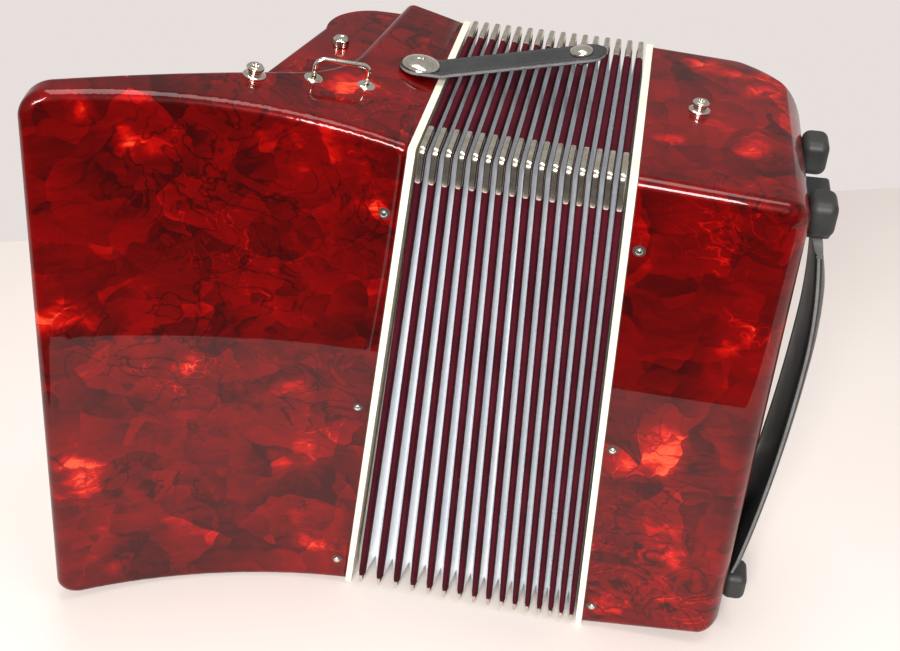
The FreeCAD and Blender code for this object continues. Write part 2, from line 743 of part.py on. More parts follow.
def is_strap_end(edge):
    box = edge.BoundBox
    return box.YLength < 0.01 and box.XLength < 0.01 and box.ZLength < 3


STRAP_CAP_X = 80.0
keep(make_bellows_strap(), "bellows_strap", "treble", STRAP_PLACE)
dome = turned("dome_pattern", [(0, -6.0), (2.5, -6.0), (2.5, 2.25), (9.7, 2.25), (9.3, 3.2), (7.6, 4.5),
                               (4.6, 5.4), (0, 5.7)])
keep(copies("strap_dome", dome, [Placement()]), "strap_screw", "treble", STRAP_PLACE)
slope = math.degrees(math.atan(STRAP_RISE / (STRAP_RISE_X - STRAP_BEND_X)))
cap_z = (STRAP_CAP_X - STRAP_BEND_X) * math.tan(math.radians(slope))
snap = turned("snap_pattern", [(0, 5.0), (0, -3.6), (3.0, -3.6), (3.0, -2.8), (4.6, -2.8), (4.9, -0.1),
                               (2.5, -0.1), (2.5, 2.3), (6.0, 2.3), (5.7, 3.4), (3.9, 4.6)])
keep(copies("strap_snap", snap, [Placement(Vector(STRAP_CAP_X, 0, cap_z), Rotation(Y_AXIS, -slope))]),
     "strap_snap_cap", "treble", STRAP_PLACE)

# ---------------------------------------------------------------- bellows

FOLDS = int(d("folds"))
MIDDLE = FOLDS // 2


def treble_place():
    """The treble frame in the row frame, its lowest point on the floor."""
    lean = Placement(Vector(), Rotation(Y_AXIS, d("treble_lean")))
    case = nodes[0][0].Shape.copy()
    case.Placement = lean
    lowest = min(point.z for point in case.tessellate(0.05)[0])
    return Placement(Vector(0, 0, -lowest), lean.Rotation)


def bass_place():
    """The bass frame in the row frame, its seam gap_floor from the treble's at the floor."""
    lean = Placement(Vector(), Rotation(Y_AXIS, -d("bass_lean")))
    corner = lean.multVec(Vector(-d("strip_width"), 0, -HALF))
    treble_foot_x = -HALF * math.sin(math.radians(d("treble_lean")))
    seam_foot_x = lean.multVec(Vector(0, 0, -HALF)).x
    return Placement(Vector(treble_foot_x + d("gap_floor") - seam_foot_x, 0, -corner.z), lean.Rotation)


doc.recompute()
TREBLE_PLACE = treble_place()
BASS_PLACE = bass_place()


def seam_points():
    """Bottom and top of each white strip's inner face at y = 0, in the row frame."""
    strip = d("strip_width")
    return ([TREBLE_PLACE.multVec(Vector(strip, 0, z)) for z in (-HALF, HALF)],
            [BASS_PLACE.multVec(Vector(-strip, 0, z)) for z in (-HALF, HALF)])


def fold_rectangle(u, inset, bottom_inset, inward=0.0):
    """A rectangle across the bellows at u, from 0 at the treble to 1 at the bass.

    The lower ends of the folds are spread more widely than the upper ends on the treble's side.
    """
    (treble_low, treble_top), (bass_low, bass_top) = seam_points()
    spread = u + d("fan_skew") * u * (1 - u)
    low = treble_low + (bass_low - treble_low) * spread
    top = treble_top + (bass_top - treble_top) * u
    rise = (top - low).normalize()
    low = low + rise * (bottom_inset + inward)
    top = top - rise * (inset + inward)
    near = inset + inward
    far = DEPTH - inset - inward
    return [Vector(low.x, near, low.z), Vector(low.x, far, low.z),
            Vector(top.x, far, top.z), Vector(top.x, near, top.z)]


def peak_rectangle(u, inward=0.0):
    return fold_rectangle(u, -d("peak_proud"), d("peak_inset_floor"), inward)


def valley_rectangle(u, inward=0.0):
    return fold_rectangle(u, d("fold_depth"), d("fold_depth"), inward)


def pleated_solid(name, rectangles, inner_rectangles):
    """Closed pleated tube through a row of rectangles, with a thinner tube inside it."""
    faces = []

    def facet(a, b, c):
        faces.append(Part.Face(Part.makePolygon([a, b, c, a])))

    def band(first, second):
        for k in range(4):
            following = (k + 1) % 4
            facet(first[k], first[following], second[following])
            facet(first[k], second[following], second[k])

    for rows in (rectangles, inner_rectangles):
        for first, second in zip(rows, rows[1:]):
            band(first, second)
    band(rectangles[0], inner_rectangles[0])
    band(rectangles[-1], inner_rectangles[-1])
    solid = Part.makeSolid(Part.makeShell(faces))
    if solid.Volume < 0:
        solid.reverse()
    feature = doc.addObject("Part::Feature", name)
    feature.Shape = solid
    return feature


def fold_rows(first_peak, last_peak, start_u, stop_u):
    """Outer and inner rectangles of the pleats from start_u through the peaks to stop_u."""
    wall = d("fold_wall")
    stations = [(start_u, valley_rectangle)]
    for peak in range(first_peak, last_peak + 1):
        stations.append(((peak - 0.5) / FOLDS, peak_rectangle))
        stations.append((peak / FOLDS, valley_rectangle))
    stations[-1] = (stop_u, valley_rectangle)
    return [shape(u) for u, shape in stations], [shape(u, wall) for u, shape in stations]


GAP_U = 0.004
treble_rows = fold_rows(1, MIDDLE, GAP_U, MIDDLE / FOLDS - GAP_U)
bass_rows = fold_rows(MIDDLE + 1, FOLDS, MIDDLE / FOLDS + GAP_U, 1 - GAP_U)
keep(pleated_solid("pleats_a", *treble_rows), "bellows_folds_treble_half", "row")
keep(pleated_solid("pleats_b", *bass_rows), "bellows_folds_bass_half", "row")


def tilted_frame(u):
    """Placement of the plane across the bellows at u, x along the bellows and z up the fold."""
    corners = fold_rectangle(u, 0, 0)
    up = (corners[3] - corners[0]).normalize()
    return Placement(corners[0], Rotation(up.cross(Y_AXIS) * -1, Y_AXIS, up, "ZYX"))


def slab_ring(u, thickness, outer, inner):
    """Flat ring in the fold plane at u between two rectangle functions."""
    place = tilted_frame(u)
    normal = place.Rotation.multVec(Vector(1, 0, 0)) * thickness
    outlines = [Part.makePolygon([*corners, corners[0]]) for corners in (outer, inner)]
    outer_face = Part.makeFace(outlines, "Part::FaceMakerBullseye")
    ring = outer_face.extrude(normal)
    ring.translate(normal * -0.5)
    return ring


middle_u = MIDDLE / FOLDS
middle = doc.addObject("Part::Feature", "middle_ring")
middle.Shape = slab_ring(middle_u, 0.4, valley_rectangle(middle_u, -1.0), valley_rectangle(middle_u, 4.0))
keep(middle, "bellows_middle_fold", "row")


def corner_guards(name, first_peak, last_peak):
    """Bent metal guards over the four corners of each peak."""
    leg, width, thick = d("guard_leg"), d("guard_width"), d("guard_thickness")
    solids = []
    for peak in range(first_peak, last_peak + 1):
        u = (peak - 0.5) / FOLDS
        inner = peak_rectangle(u, -0.05)
        outer = peak_rectangle(u, -0.05 - thick)
        for k in range(4):
            before, after = inner[k - 1] - inner[k], inner[(k + 1) % 4] - inner[k]
            before.normalize()
            after.normalize()
            points = [outer[k], outer[k] + after * leg, outer[k] + after * leg - before * -thick,
                      inner[k], outer[k] + before * leg + after * thick, outer[k] + before * leg]
            face = Part.Face(Part.makePolygon([*points, points[0]]))
            normal = tilted_frame(u).Rotation.multVec(Vector(1, 0, 0)) * width * 0.8
            solid = face.extrude(normal)
            solid.translate(normal * -0.5)
            solids.append(solid)
    feature = doc.addObject("Part::Feature", name)
    feature.Shape = Part.makeCompound(solids)
    return feature


keep(corner_guards("guards_a", 1, MIDDLE), "corner_guards_treble_half", "row")
keep(corner_guards("guards_b", MIDDLE + 1, FOLDS), "corner_guards_bass_half", "row")

# ---------------------------------------------------------------- bass case


def bass_elevation():
    """The bass case's elevation on the XZ plane, tapered and rounded at its outer end."""
    top = "dims.frame_height / 2"
    end_z = "(dims.frame_height / 2 - dims.bass_taper)"
    wide, radius = "dims.bass_width", "dims.bass_end_round"
    taper = "atan(dims.bass_taper / dims.bass_width)"
    tangent = f"({radius} * tan(45 deg - {taper} / 2))"
    start_x = f"{wide} - {tangent} * cos({taper})"
    start_z = f"({end_z} + {tangent} * sin({taper}))"
    return (
        [(0, "-" + top), (start_x, "-" + start_z), (wide, f"-({end_z} - {tangent})"),
         (wide, f"{end_z} - {tangent}"), (start_x, start_z), (0, top)],
        {1: (radius, 1), 3: (radius, 1)},
    )


def make_bass_case():
    owner = new_body("bass_shell")
    wide, deep = "dims.bass_width", "dims.frame_depth"
    near, far = "dims.bass_back_round", "dims.bass_front_round"
    side = pad(owner, sketch(owner, "bass_side", [bass_elevation()], "XZ_Plane"), deep, "bass_pad")
    side.Midplane = False
    side.Reversed = True
    round_edges(owner, "bass_front_edge", "dims.edge_round", is_bass_front_outline)
    corner = (
        [(f"{wide} - {far}", deep), (wide, f"{deep} - {far}"), (f"{wide} + 5", f"{deep} - {far}"),
         (f"{wide} + 5", f"{deep} + 5"), (f"{wide} - {far}", f"{deep} + 5")],
        {0: (far, -1)},
    )
    pocket(owner, sketch(owner, "front_corner", [corner]), 500, "front_corner_cut")
    wall = "dims.wall"
    inside = (
        [(-1, wall), (f"{wide} - {near}", wall), (f"{wide} - {wall}", near),
         (f"{wide} - {wall}", f"{deep} - {far}"), (f"{wide} - {far}", f"{deep} - {wall}"),
         (-1, f"{deep} - {wall}")],
        {1: (f"{near} - {wall}", 1), 3: (f"{far} - {wall}", 1)},
    )
    hollow_side = "dims.chamber_height - 14"
    pocket(owner, sketch(owner, "bass_inside", [inside]), hollow_side, "bass_hollow")
    mouth = rectangle(-1, wall, "dims.tongue_depth + 2", f"{deep} - {wall}")
    pocket(owner, sketch(owner, "bass_mouth", [mouth]), "dims.chamber_height", "bass_mouth_cut")
    opening = rectangle(wide + " - 8", 26, wide + " + 8", 86)
    pocket(owner, sketch(owner, "end_opening", [opening]), 228, "end_opening_cut")
    pocket(owner, sketch(owner, "button_window", [button_window()]), 232, "button_window_cut")
    pin_holes(owner, 4.8)
    return rounded_back(owner)


def is_bass_front_outline(edge):
    """Edges of the bass case's front face, apart from the one at the seam."""
    box = edge.BoundBox
    return box.YMin > DEPTH - 0.01 and box.XMax > 0.5


def rounded_back(owner):
    """Round the back face's edge, with a radius that grows round the outer corners."""
    narrow, broad, wide = d("edge_round") + 1.0, d("bass_back_round"), d("bass_width")
    doc.recompute()
    edges = []
    for i, edge in enumerate(owner.Shape.Edges, start=1):
        box = edge.BoundBox
        if box.YMax > 0.01 or box.XMax < 0.5 or box.DiagonalLength < 3:
            continue
        ends = [edge.valueAt(t).x for t in (edge.FirstParameter, edge.LastParameter)]
        edges.append((i, *(broad if x > wide - 0.01 else narrow for x in ends)))
    rounded = doc.addObject("Part::Fillet", "bass_case")
    rounded.Base = owner
    rounded.Edges = edges
    return rounded


# the button frame: x out of the bass's rounded front corner at 45 degrees, y across it
BUTTON_CENTRE = Vector(d("bass_width") - d("bass_front_round"), DEPTH - d("bass_front_round"), 0)
BUTTON_PLACE = Placement(BUTTON_CENTRE, Rotation(Z_AXIS, 45))


def button_window():
    """Opening through the rounded corner for the button board, in the bass frame's plan."""
    corners = ((38, -27.5), (70, -27.5), (70, 27.5), (38, 27.5))
    points = [BUTTON_PLACE.multVec(Vector(x, y, 0)) for x, y in corners]
    return ([(p.x, p.y) for p in points], {})


keep(make_bass_case(), "bass_case", "bass")
keep(make_bellows_frame("bass_bellows_frame", -1), "bass_bellows_frame", "bass")

columns = int(d("button_columns"))
COLUMN_HEIGHTS = [(i - (columns - 1) / 2) * d("button_pitch") for i in range(columns)]
ROW_OFFSETS = [(i - 1.5) * d("button_row_pitch") for i in range(4)]
STEM_END = 30.0

board_low = "dims.button_board_top - dims.button_board_thickness"
button_board = block("button_board_blank", (board_low, "dims.button_board_top"), (-27.2, 27.2),
                     (-115.5, 115.5))
stem_holes = [
    rod(f"stem_hole_{i}_{j}", (d("button_board_top") - 8, y, z), (1, 0, 0), "dims.button_radius + 0.35", 12)
    for i, y in enumerate(ROW_OFFSETS) for j, z in enumerate(COLUMN_HEIGHTS)
]
drilled_board = cut("button_board", button_board, group("stem_holes", stem_holes))
keep(drilled_board, "bass_button_board", "bass", BUTTON_PLACE)

ROW_NAMES = ("bass_buttons_root_row", "bass_buttons_major_row", "bass_buttons_minor_row",
             "bass_buttons_seventh_row")
for i, (label, y) in enumerate(zip(ROW_NAMES, ROW_OFFSETS, strict=True)):
    row_members = []
    for j, z in enumerate(COLUMN_HEIGHTS):
        stem = rod(f"button_{i}_{j}", (STEM_END, y, z), (1, 0, 0), "dims.button_radius",
                   f"dims.button_top - {STEM_END}")
        rounded = doc.addObject("Part::Fillet", f"button_round_{i}_{j}")
        rounded.Base = stem
        doc.recompute()
        rim_edge = [k for k, e in enumerate(stem.Shape.Edges, start=1) if e.BoundBox.XLength < 0.01
                    and e.BoundBox.XMin > d("button_top") - 0.1]
        rounded.Edges = [(k, 1.4, 1.4) for k in rim_edge]
        row_members.append(rounded)
    keep(group(f"row_{i}", row_members), label, "bass", BUTTON_PLACE)

mechanism = [block("mechanism_base", (-6, -2), (-24, 24), (-112, 112))]
for j, z in enumerate(COLUMN_HEIGHTS):
    mechanism.append(block(f"piston_comb_{j}", (-2, 24), (-24, 24), (z - 0.8, z + 0.8)))
keep(fuse("mechanism", mechanism), "bass_mechanism", "bass", BUTTON_PLACE)

bass_blocks = [block("bass_reed_board", (23.0, 27.0), (10.0, 84.0), (-137, 137))]
for i, low in enumerate((16.0, 54.0)):
    bass_blocks.append(block(f"bass_reed_block_{i}", (2.0, 23.0), (low, low + 26.0), (-124, 124)))
keep(fuse("bass_reeds", bass_blocks), "bass_reed_block", "bass")

plate = block("plate_blank", ("dims.bass_width", "dims.bass_width + dims.plate_thickness"), (36, 97),
              (-111.4, 111.4))
AIR_Y, AIR_Z = 78.0, -60.0
air_hole = rod("air_button_hole", (d("bass_width") - 4, AIR_Y, AIR_Z), (1, 0, 0), 6.3, 12)
keep(cut("plate", plate, air_hole), "bass_plate", "bass")
air_stem = rod("air_stem", (d("bass_width") - 8, AIR_Y, AIR_Z), (1, 0, 0), 6.0, 18.0)
keep(group("air_group", [air_stem]), "air_button", "bass")

FACE_X = d("bass_width") + d("plate_thickness")


def make_foot(name, y, z):
    """Rubber foot on the case's outer side, at y, between two heights."""
    low, high = z
    outer = "dims.bass_width + dims.foot_height"
    return block(name, ("dims.bass_width + 0.05", outer), (y - 9.5, y + 9.5), (low, high))


FOOT_NEAR_Y, FOOT_FAR_Y = 25.0, 85.5
FOOT_UPPER, FOOT_LOWER = (124.0, 142.5), (-131.5, -112.5)
feet = [
    make_foot(f"foot_{i}", y, z)
    for i, (y, z) in enumerate((y, z) for y in (FOOT_NEAR_Y, FOOT_FAR_Y) for z in (FOOT_UPPER, FOOT_LOWER))
]
keep(group("feet", feet), "bass_feet", "bass")

HAND_STRAP_Y = 44.0
STRAP_END = 111.8


def make_hand_strap():
    """Padded leather hand strap, bowed away from the bass plate between its two brackets."""
    owner = new_body("bass_strap")
    thick = d("hand_strap_thickness")
    lower, crest, upper = (FACE_X + 0.6, -STRAP_END), (94.0, 42.0), (88.3, STRAP_END)
    outer = [(x + thick, z) for x, z in (upper, crest, lower)]
    outline = ([lower, crest, upper, *outer], {0: (1187, 1), 1: (341, 1), 3: (341, -1), 4: (1187, -1)})
    pad(owner, sketch(owner, "strap_outline", [outline], "XZ_Plane"), "dims.hand_strap_width", "strap_pad")
    return owner


keep(make_hand_strap(), "bass_strap", "bass", Placement(Vector(0, HAND_STRAP_Y, 0), Rotation()))
brackets = []
for i, (sign, outer) in enumerate(((1, 95.5), (-1, 90.0))):
    span = sorted((sign * (STRAP_END + 0.1), sign * 125.8))
    brackets.append(block(f"bracket_{i}", ("dims.bass_width + 0.05", outer), (36.3, 74.8), span))
keep(group("brackets", brackets), "strap_brackets", "bass")

keep(copies("bass_pin_set", pin, pin_places(BASS_PIN_X, 0.0, DEPTH)), "bass_bellows_pins", "bass")
keep(copies("bass_stud", stud, [on_bass_end(26.4, 80.0).multiply(Placement(Vector(0, 0, 0.02), Rotation()))]),
     "bass_snap_stud", "bass")

# ---------------------------------------------------------------- stand the two halves on the floor

doc.recompute()
FRAMES = {"treble": TREBLE_PLACE, "bass": BASS_PLACE, "row": Placement()}


def overall_box():
    """Box round every sub-part with the halves standing on the floor."""
    box = FreeCAD.BoundBox()
    for obj, frame, local in nodes:
        shape = obj.Shape.copy()
        shape.Placement = FRAMES[frame].multiply(local)
        for point in shape.tessellate(0.2)[0]:
            box.add(point)
    return box


BOX = overall_box()
CENTRE = Placement(Vector(-BOX.Center.x, -BOX.Center.y, -BOX.ZMin), Rotation())
for obj, frame, local in nodes:
    obj.Placement = CENTRE.multiply(FRAMES[frame]).multiply(local)
doc.recompute()

faulty = [o.Label for o in doc.Objects if "Invalid" in o.State or "Error" in o.State]
faulty += [o.Label for o, _, _ in nodes if o.Shape.isNull() or not o.Shape.isValid()]
if faulty:
    raise RuntimeError(f"faulty sub-parts: {faulty}")

os.makedirs("parts", exist_ok=True)
for obj, _, _ in nodes:
    obj.Shape.exportStep(f"parts/{obj.Label}.step")
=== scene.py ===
import math

import bmesh
import bpy
from mathutils import Matrix, Vector


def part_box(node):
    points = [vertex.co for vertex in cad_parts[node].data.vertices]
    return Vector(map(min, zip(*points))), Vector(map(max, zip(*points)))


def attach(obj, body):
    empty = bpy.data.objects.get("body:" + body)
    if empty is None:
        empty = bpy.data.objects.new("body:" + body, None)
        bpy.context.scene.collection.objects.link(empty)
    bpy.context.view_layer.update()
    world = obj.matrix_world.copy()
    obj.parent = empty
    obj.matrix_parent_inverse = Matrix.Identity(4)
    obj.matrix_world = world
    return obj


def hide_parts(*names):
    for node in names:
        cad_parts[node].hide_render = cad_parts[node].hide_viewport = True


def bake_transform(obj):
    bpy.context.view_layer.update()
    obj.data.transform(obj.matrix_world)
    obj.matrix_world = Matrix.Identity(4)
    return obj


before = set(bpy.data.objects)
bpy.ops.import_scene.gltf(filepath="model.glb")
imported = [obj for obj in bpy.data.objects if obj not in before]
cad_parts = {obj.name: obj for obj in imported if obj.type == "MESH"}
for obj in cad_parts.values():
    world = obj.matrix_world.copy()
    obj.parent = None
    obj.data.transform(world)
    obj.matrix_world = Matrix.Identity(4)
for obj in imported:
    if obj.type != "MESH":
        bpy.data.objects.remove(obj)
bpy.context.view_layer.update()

# Piano accordion standing on its end. Local frames, as in the CAD: z = 0 at mid height and y = 0 on the
# player's side, with the treble half towards -x and the bass half towards +x. Lengths are in metres.

MM = 0.001
TREBLE_LEAN = math.radians(5.8)
BASS_LEAN = math.radians(-1.9)
HALF = 155 * MM
DEPTH = 152 * MM
STRIP = 3.6 * MM
FOLDS = 16


def half_frame(node, lean, strip_x):
    """The local frame of one half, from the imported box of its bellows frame."""
    low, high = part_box(node)
    turn = Matrix.Rotation(lean, 4, "Y")
    foot = turn @ Vector((strip_x, 0, -HALF))
    top = turn @ Vector((strip_x, 0, HALF))
    edge_x = high.x if strip_x > 0 else low.x
    return Matrix.Translation((edge_x - top.x, low.y, low.z - foot.z)) @ turn


TREBLE = half_frame("treble_bellows_frame", TREBLE_LEAN, STRIP)
BASS = half_frame("bass_bellows_frame", BASS_LEAN, -STRIP)
WING_TIP = (-167 * MM, -38 * MM, 0)
WING_SWEEP = math.radians(35.76)
KEYS = TREBLE @ Matrix.Translation(WING_TIP) @ Matrix.Rotation(WING_SWEEP, 4, "Z")

# ---------------------------------------------------------------- materials


class Builder:
    """A material with a Principled shader, and short calls that add nodes to it."""

    def __init__(self, name, **shader):
        self.material = bpy.data.materials.new(name)
        self.material.use_nodes = True
        self.tree = self.material.node_tree
        self.shader = self.tree.nodes["Principled BSDF"]
        for key, value in shader.items():
            self.set(self.shader, key.replace("_", " "), value)

    def set(self, node, key, value):
        socket = node.inputs[key]
        if isinstance(value, bpy.types.NodeSocket):
            self.tree.links.new(value, socket)
        elif isinstance(value, (tuple, list)) and len(value) == 3 and len(socket.default_value) == 4:
            socket.default_value = (*value, 1)
        else:
            socket.default_value = value

    def add(self, kind, inputs=None, **settings):
        node = self.tree.nodes.new("ShaderNode" + kind)
        for key, value in settings.items():
            setattr(node, key, value)
        for key, value in (inputs or {}).items():
            self.set(node, key, value)
        return node

    def coords(self):
        return self.add("TexCoord").outputs["Object"]

    def math(self, operation, a, b=0.0, clamp=False):
        return self.add("Math", {0: a, 1: b}, operation=operation, use_clamp=clamp).outputs[0]

    def vector(self, operation, a, b):
        result = self.add("VectorMath", {0: a, 1: b}, operation=operation)
        return result.outputs["Value" if operation == "DOT_PRODUCT" else "Vector"]

    def scaled(self, vector, factors):
        return self.add("Mapping", {"Vector": vector, "Scale": factors}).outputs[0]

    def noise(self, vector, scale, detail=3.0, roughness=0.5, distortion=0.0):
        return self.add("TexNoise", {"Vector": vector, "Scale": scale, "Detail": detail,
                                     "Roughness": roughness, "Distortion": distortion})

    def ramp(self, factor, stops):
        node = self.add("ValToRGB", {"Fac": factor})
        elements = node.color_ramp.elements
        while len(elements) < len(stops):
            elements.new(0.5)
        for element, (position, colour) in zip(elements, stops):
            element.position = position
            element.color = (*colour, 1)
        return node.outputs["Color"]

    def bump(self, height, strength, distance=0.0005):
        node = self.add("Bump", {"Height": height, "Strength": strength, "Distance": distance})
        self.set(self.shader, "Normal", node.outputs[0])

    def base(self, value):
        self.set(self.shader, "Base Color", value)


def pearloid():
    """Red pearl celluloid: crumpled facets, thin dark and bright creases, feathery flares, a clear gloss."""
    b = Builder("red_pearloid", Roughness=0.34, Specular_IOR_Level=0.05, Coat_Weight=0.5, Coat_Roughness=0.02,
                Metallic=0.2)
    place = b.coords()
    warp = b.vector("SUBTRACT", b.noise(place, 20, 3, 0.55).outputs["Color"], (0.5, 0.5, 0.5))
    warped = b.vector("ADD", place, b.vector("MULTIPLY", warp, (0.035, 0.035, 0.035)))

    def facets(scale):
        cells = b.add("TexVoronoi", {"Vector": warped, "Scale": scale})
        inside = b.vector("SUBTRACT", warped, cells.outputs["Position"])
        lean = b.vector("SUBTRACT", cells.outputs["Color"], (0.5, 0.5, 0.5))
        return b.math("MULTIPLY", b.vector("DOT_PRODUCT", inside, lean), scale)

    def crease(scale, width, distortion):
        ridge = b.noise(place, scale, 2, 0.5, distortion).outputs[0]
        away = b.math("ABSOLUTE", b.math("ADD", ridge, -0.5))
        return b.math("SUBTRACT", 1.0, b.math("MULTIPLY", away, 1 / width, clamp=True))

    def where(scale, start, gain):
        past_start = b.math("ADD", b.noise(place, scale, 2).outputs[0], -start)
        return b.math("MULTIPLY", past_start, gain, clamp=True)

    fibres = b.noise(b.scaled(warped, (1, 1, 2.2)), 60, 4, 0.6, 1.2).outputs[0]
    clouds = b.noise(place, 8, 2).outputs[0]
    dark_crease = b.math("MULTIPLY", crease(26, 0.035, 2.2), where(13, 0.44, 6.0))
    bright_crease = b.math("MULTIPLY", crease(30, 0.020, 2.6), where(15, 0.50, 7.0))
    flare = b.math("MULTIPLY", where(24, 0.57, 8.0), fibres)
    layers = ((facets(22), 0.36), (facets(52), 0.30), (clouds, 0.20), (fibres, 0.30), (dark_crease, -0.24),
              (bright_crease, 0.22), (flare, 0.62))
    value = 0.26
    for layer, strength in layers:
        value = b.math("ADD", b.math("MULTIPLY", layer, strength), value)
    b.base(b.ramp(value, [(0.30, (0.040, 0.0, 0.0)), (0.46, (0.104, 0.0, 0.0)), (0.64, (0.195, 0.0, 0.0)),
                          (0.80, (0.48, 0.003, 0.001)), (0.97, (0.95, 0.08, 0.025))]))
    ripple = b.noise(place, 14, 1, 0.4).outputs[0]
    bump = b.add("Bump", {"Height": ripple, "Strength": 0.05, "Distance": 0.001})
    b.set(b.shader, "Coat Normal", bump.outputs[0])
    return b.material


def gloss(name, colour, roughness=0.18, coat=0.6, spread=0.06, scale=120):
    """Moulded plastic with faint mottling, fine scuffs and a thin polish."""
    b = Builder(name, Coat_Weight=coat, Coat_Roughness=0.06)
    place = b.coords()
    mottle = b.noise(place, scale, 3).outputs[0]
    dark = tuple(c * (1 - spread * 2.2) for c in colour)
    light = tuple(min(1, c * (1 + spread)) for c in colour)
    b.base(b.ramp(mottle, [(0.3, dark), (0.7, light)]))
    scuffs = b.noise(b.scaled(place, (1, 1, 6)), 420, 2, 0.7).outputs[0]
    b.set(b.shader, "Roughness", b.math("ADD", b.math("MULTIPLY", scuffs, 0.14), roughness - 0.05))
    b.bump(scuffs, 0.03, 0.0002)
    return b.material


def pearl_button():
    b = Builder("pearl_button", Roughness=0.2, Coat_Weight=0.8, Coat_Roughness=0.05, Metallic=0.1)
    swirl = b.noise(b.coords(), 260, 3, 0.5, 1.5).outputs[0]
    b.base(b.ramp(swirl, [(0.3, (0.72, 0.66, 0.56)), (0.7, (0.93, 0.90, 0.84))]))
    return b.material


def nickel(name, colour=(0.80, 0.77, 0.70), roughness=0.12):
    """Plated metal with faint tarnish in patches and polishing marks."""
    b = Builder(name, Metallic=1.0)
    place = b.coords()
    tarnish = b.noise(place, 180, 3, 0.6).outputs[0]
    dull = tuple(c * f for c, f in zip(colour, (0.72, 0.66, 0.56)))
    b.base(b.ramp(tarnish, [(0.35, colour), (0.75, dull)]))
    marks = b.noise(place, 900, 2, 0.7).outputs[0]
    b.set(b.shader, "Roughness", b.math("ADD", b.math("MULTIPLY", marks, 0.16), roughness - 0.04))
    b.bump(marks, 0.04, 0.0001)
    return b.material


def cloth(name, dark, light, weave=2600, sheen=0.2, roughness=0.75, strength=0.35, specular=0.5):
    """Woven cloth glued on card: one diagonal thread wave and fine noise in the bump, and slow fading."""
    b = Builder(name, Sheen_Weight=sheen, Roughness=roughness, Specular_IOR_Level=specular)
    place = b.coords()
    thread_inputs = {"Vector": b.scaled(place, (1, 1, 0.25)), "Scale": weave / 6.3, "Distortion": 0.8}
    threads = b.add("TexWave", thread_inputs, bands_direction="DIAGONAL")
    fine = b.noise(place, weave / 2, 2, 0.6).outputs[0]
    fade = b.noise(place, 30, 3).outputs[0]
    tone = b.math("ADD", b.math("MULTIPLY", fade, 0.6), b.math("MULTIPLY", fine, 0.4))
    b.base(b.ramp(tone, [(0.35, dark), (0.65, light)]))
    b.bump(b.math("ADD", threads.outputs[1], fine), strength, 0.0001)
    return b.material


def silver_paper():
    """Silvery lining paper of the fold walls, with soft creases along the folds."""
    b = Builder("silver_paper", Metallic=0.0, Roughness=0.42, Sheen_Weight=0.1)
    place = b.coords()
    tone = b.noise(b.scaled(place, (1, 1, 0.3)), 70, 4, 0.6).outputs[0]
    b.base(b.ramp(tone, [(0.3, (0.90, 0.93, 0.98)), (0.7, (0.96, 0.98, 1.0))]))
    b.bump(b.noise(place, 500, 3, 0.6).outputs[0], 0.15, 0.0002)
    return b.material


def leather(name, dark=(0.010, 0.010, 0.011), light=(0.030, 0.030, 0.032), roughness=0.42, grain=620):
    """Grained black leather: creased cells with a satin finish; the creases between cells are painted darker,
    as painted shade.
    """
    b = Builder(name, Coat_Weight=0.15, Coat_Roughness=0.3)
    place = b.coords()
    cells = b.add("TexVoronoi", {"Vector": place, "Scale": grain}, feature="DISTANCE_TO_EDGE")
    crease = b.math("MULTIPLY", cells.outputs["Distance"], 6.0, clamp=True)
    patch = b.noise(place, 60, 3).outputs[0]
    # the colour darkens towards each cell's edge: painted shade in the creases
    b.base(b.ramp(b.math("ADD", b.math("MULTIPLY", crease, 0.4), b.math("MULTIPLY", patch, 0.6)),
                  [(0.3, dark), (0.75, light)]))
    b.set(b.shader, "Roughness", b.math("ADD", b.math("MULTIPLY", patch, 0.25), roughness - 0.12))
    b.bump(crease, 0.35, 0.00015)
    return b.material


def moulded(name, colour, roughness=0.45, grain=900):
    """Textured black plastic or rubber with a fine moulded grain."""
    b = Builder(name)
    place = b.coords()
    fine = b.noise(place, grain, 3, 0.6).outputs[0]
    wear = b.noise(place, 45, 4, 0.6).outputs[0]
    b.base(b.ramp(wear, [(0.35, colour), (0.75, tuple(c * 2.2 + 0.004 for c in colour))]))
    b.set(b.shader, "Roughness", b.math("ADD", b.math("MULTIPLY", wear, 0.2), roughness - 0.1))
    b.bump(fine, 0.25, 0.00015)
    return b.material


def wood(name, dark=(0.35, 0.20, 0.10), light=(0.62, 0.42, 0.24), along=(1, 1, 0.06)):
    b = Builder(name, Roughness=0.55)
    grain = b.noise(b.scaled(b.coords(), along), 260, 5, 0.65, 0.6).outputs[0]
    b.base(b.ramp(grain, [(0.3, dark), (0.7, light)]))
    b.bump(grain, 0.2, 0.0003)
    return b.material


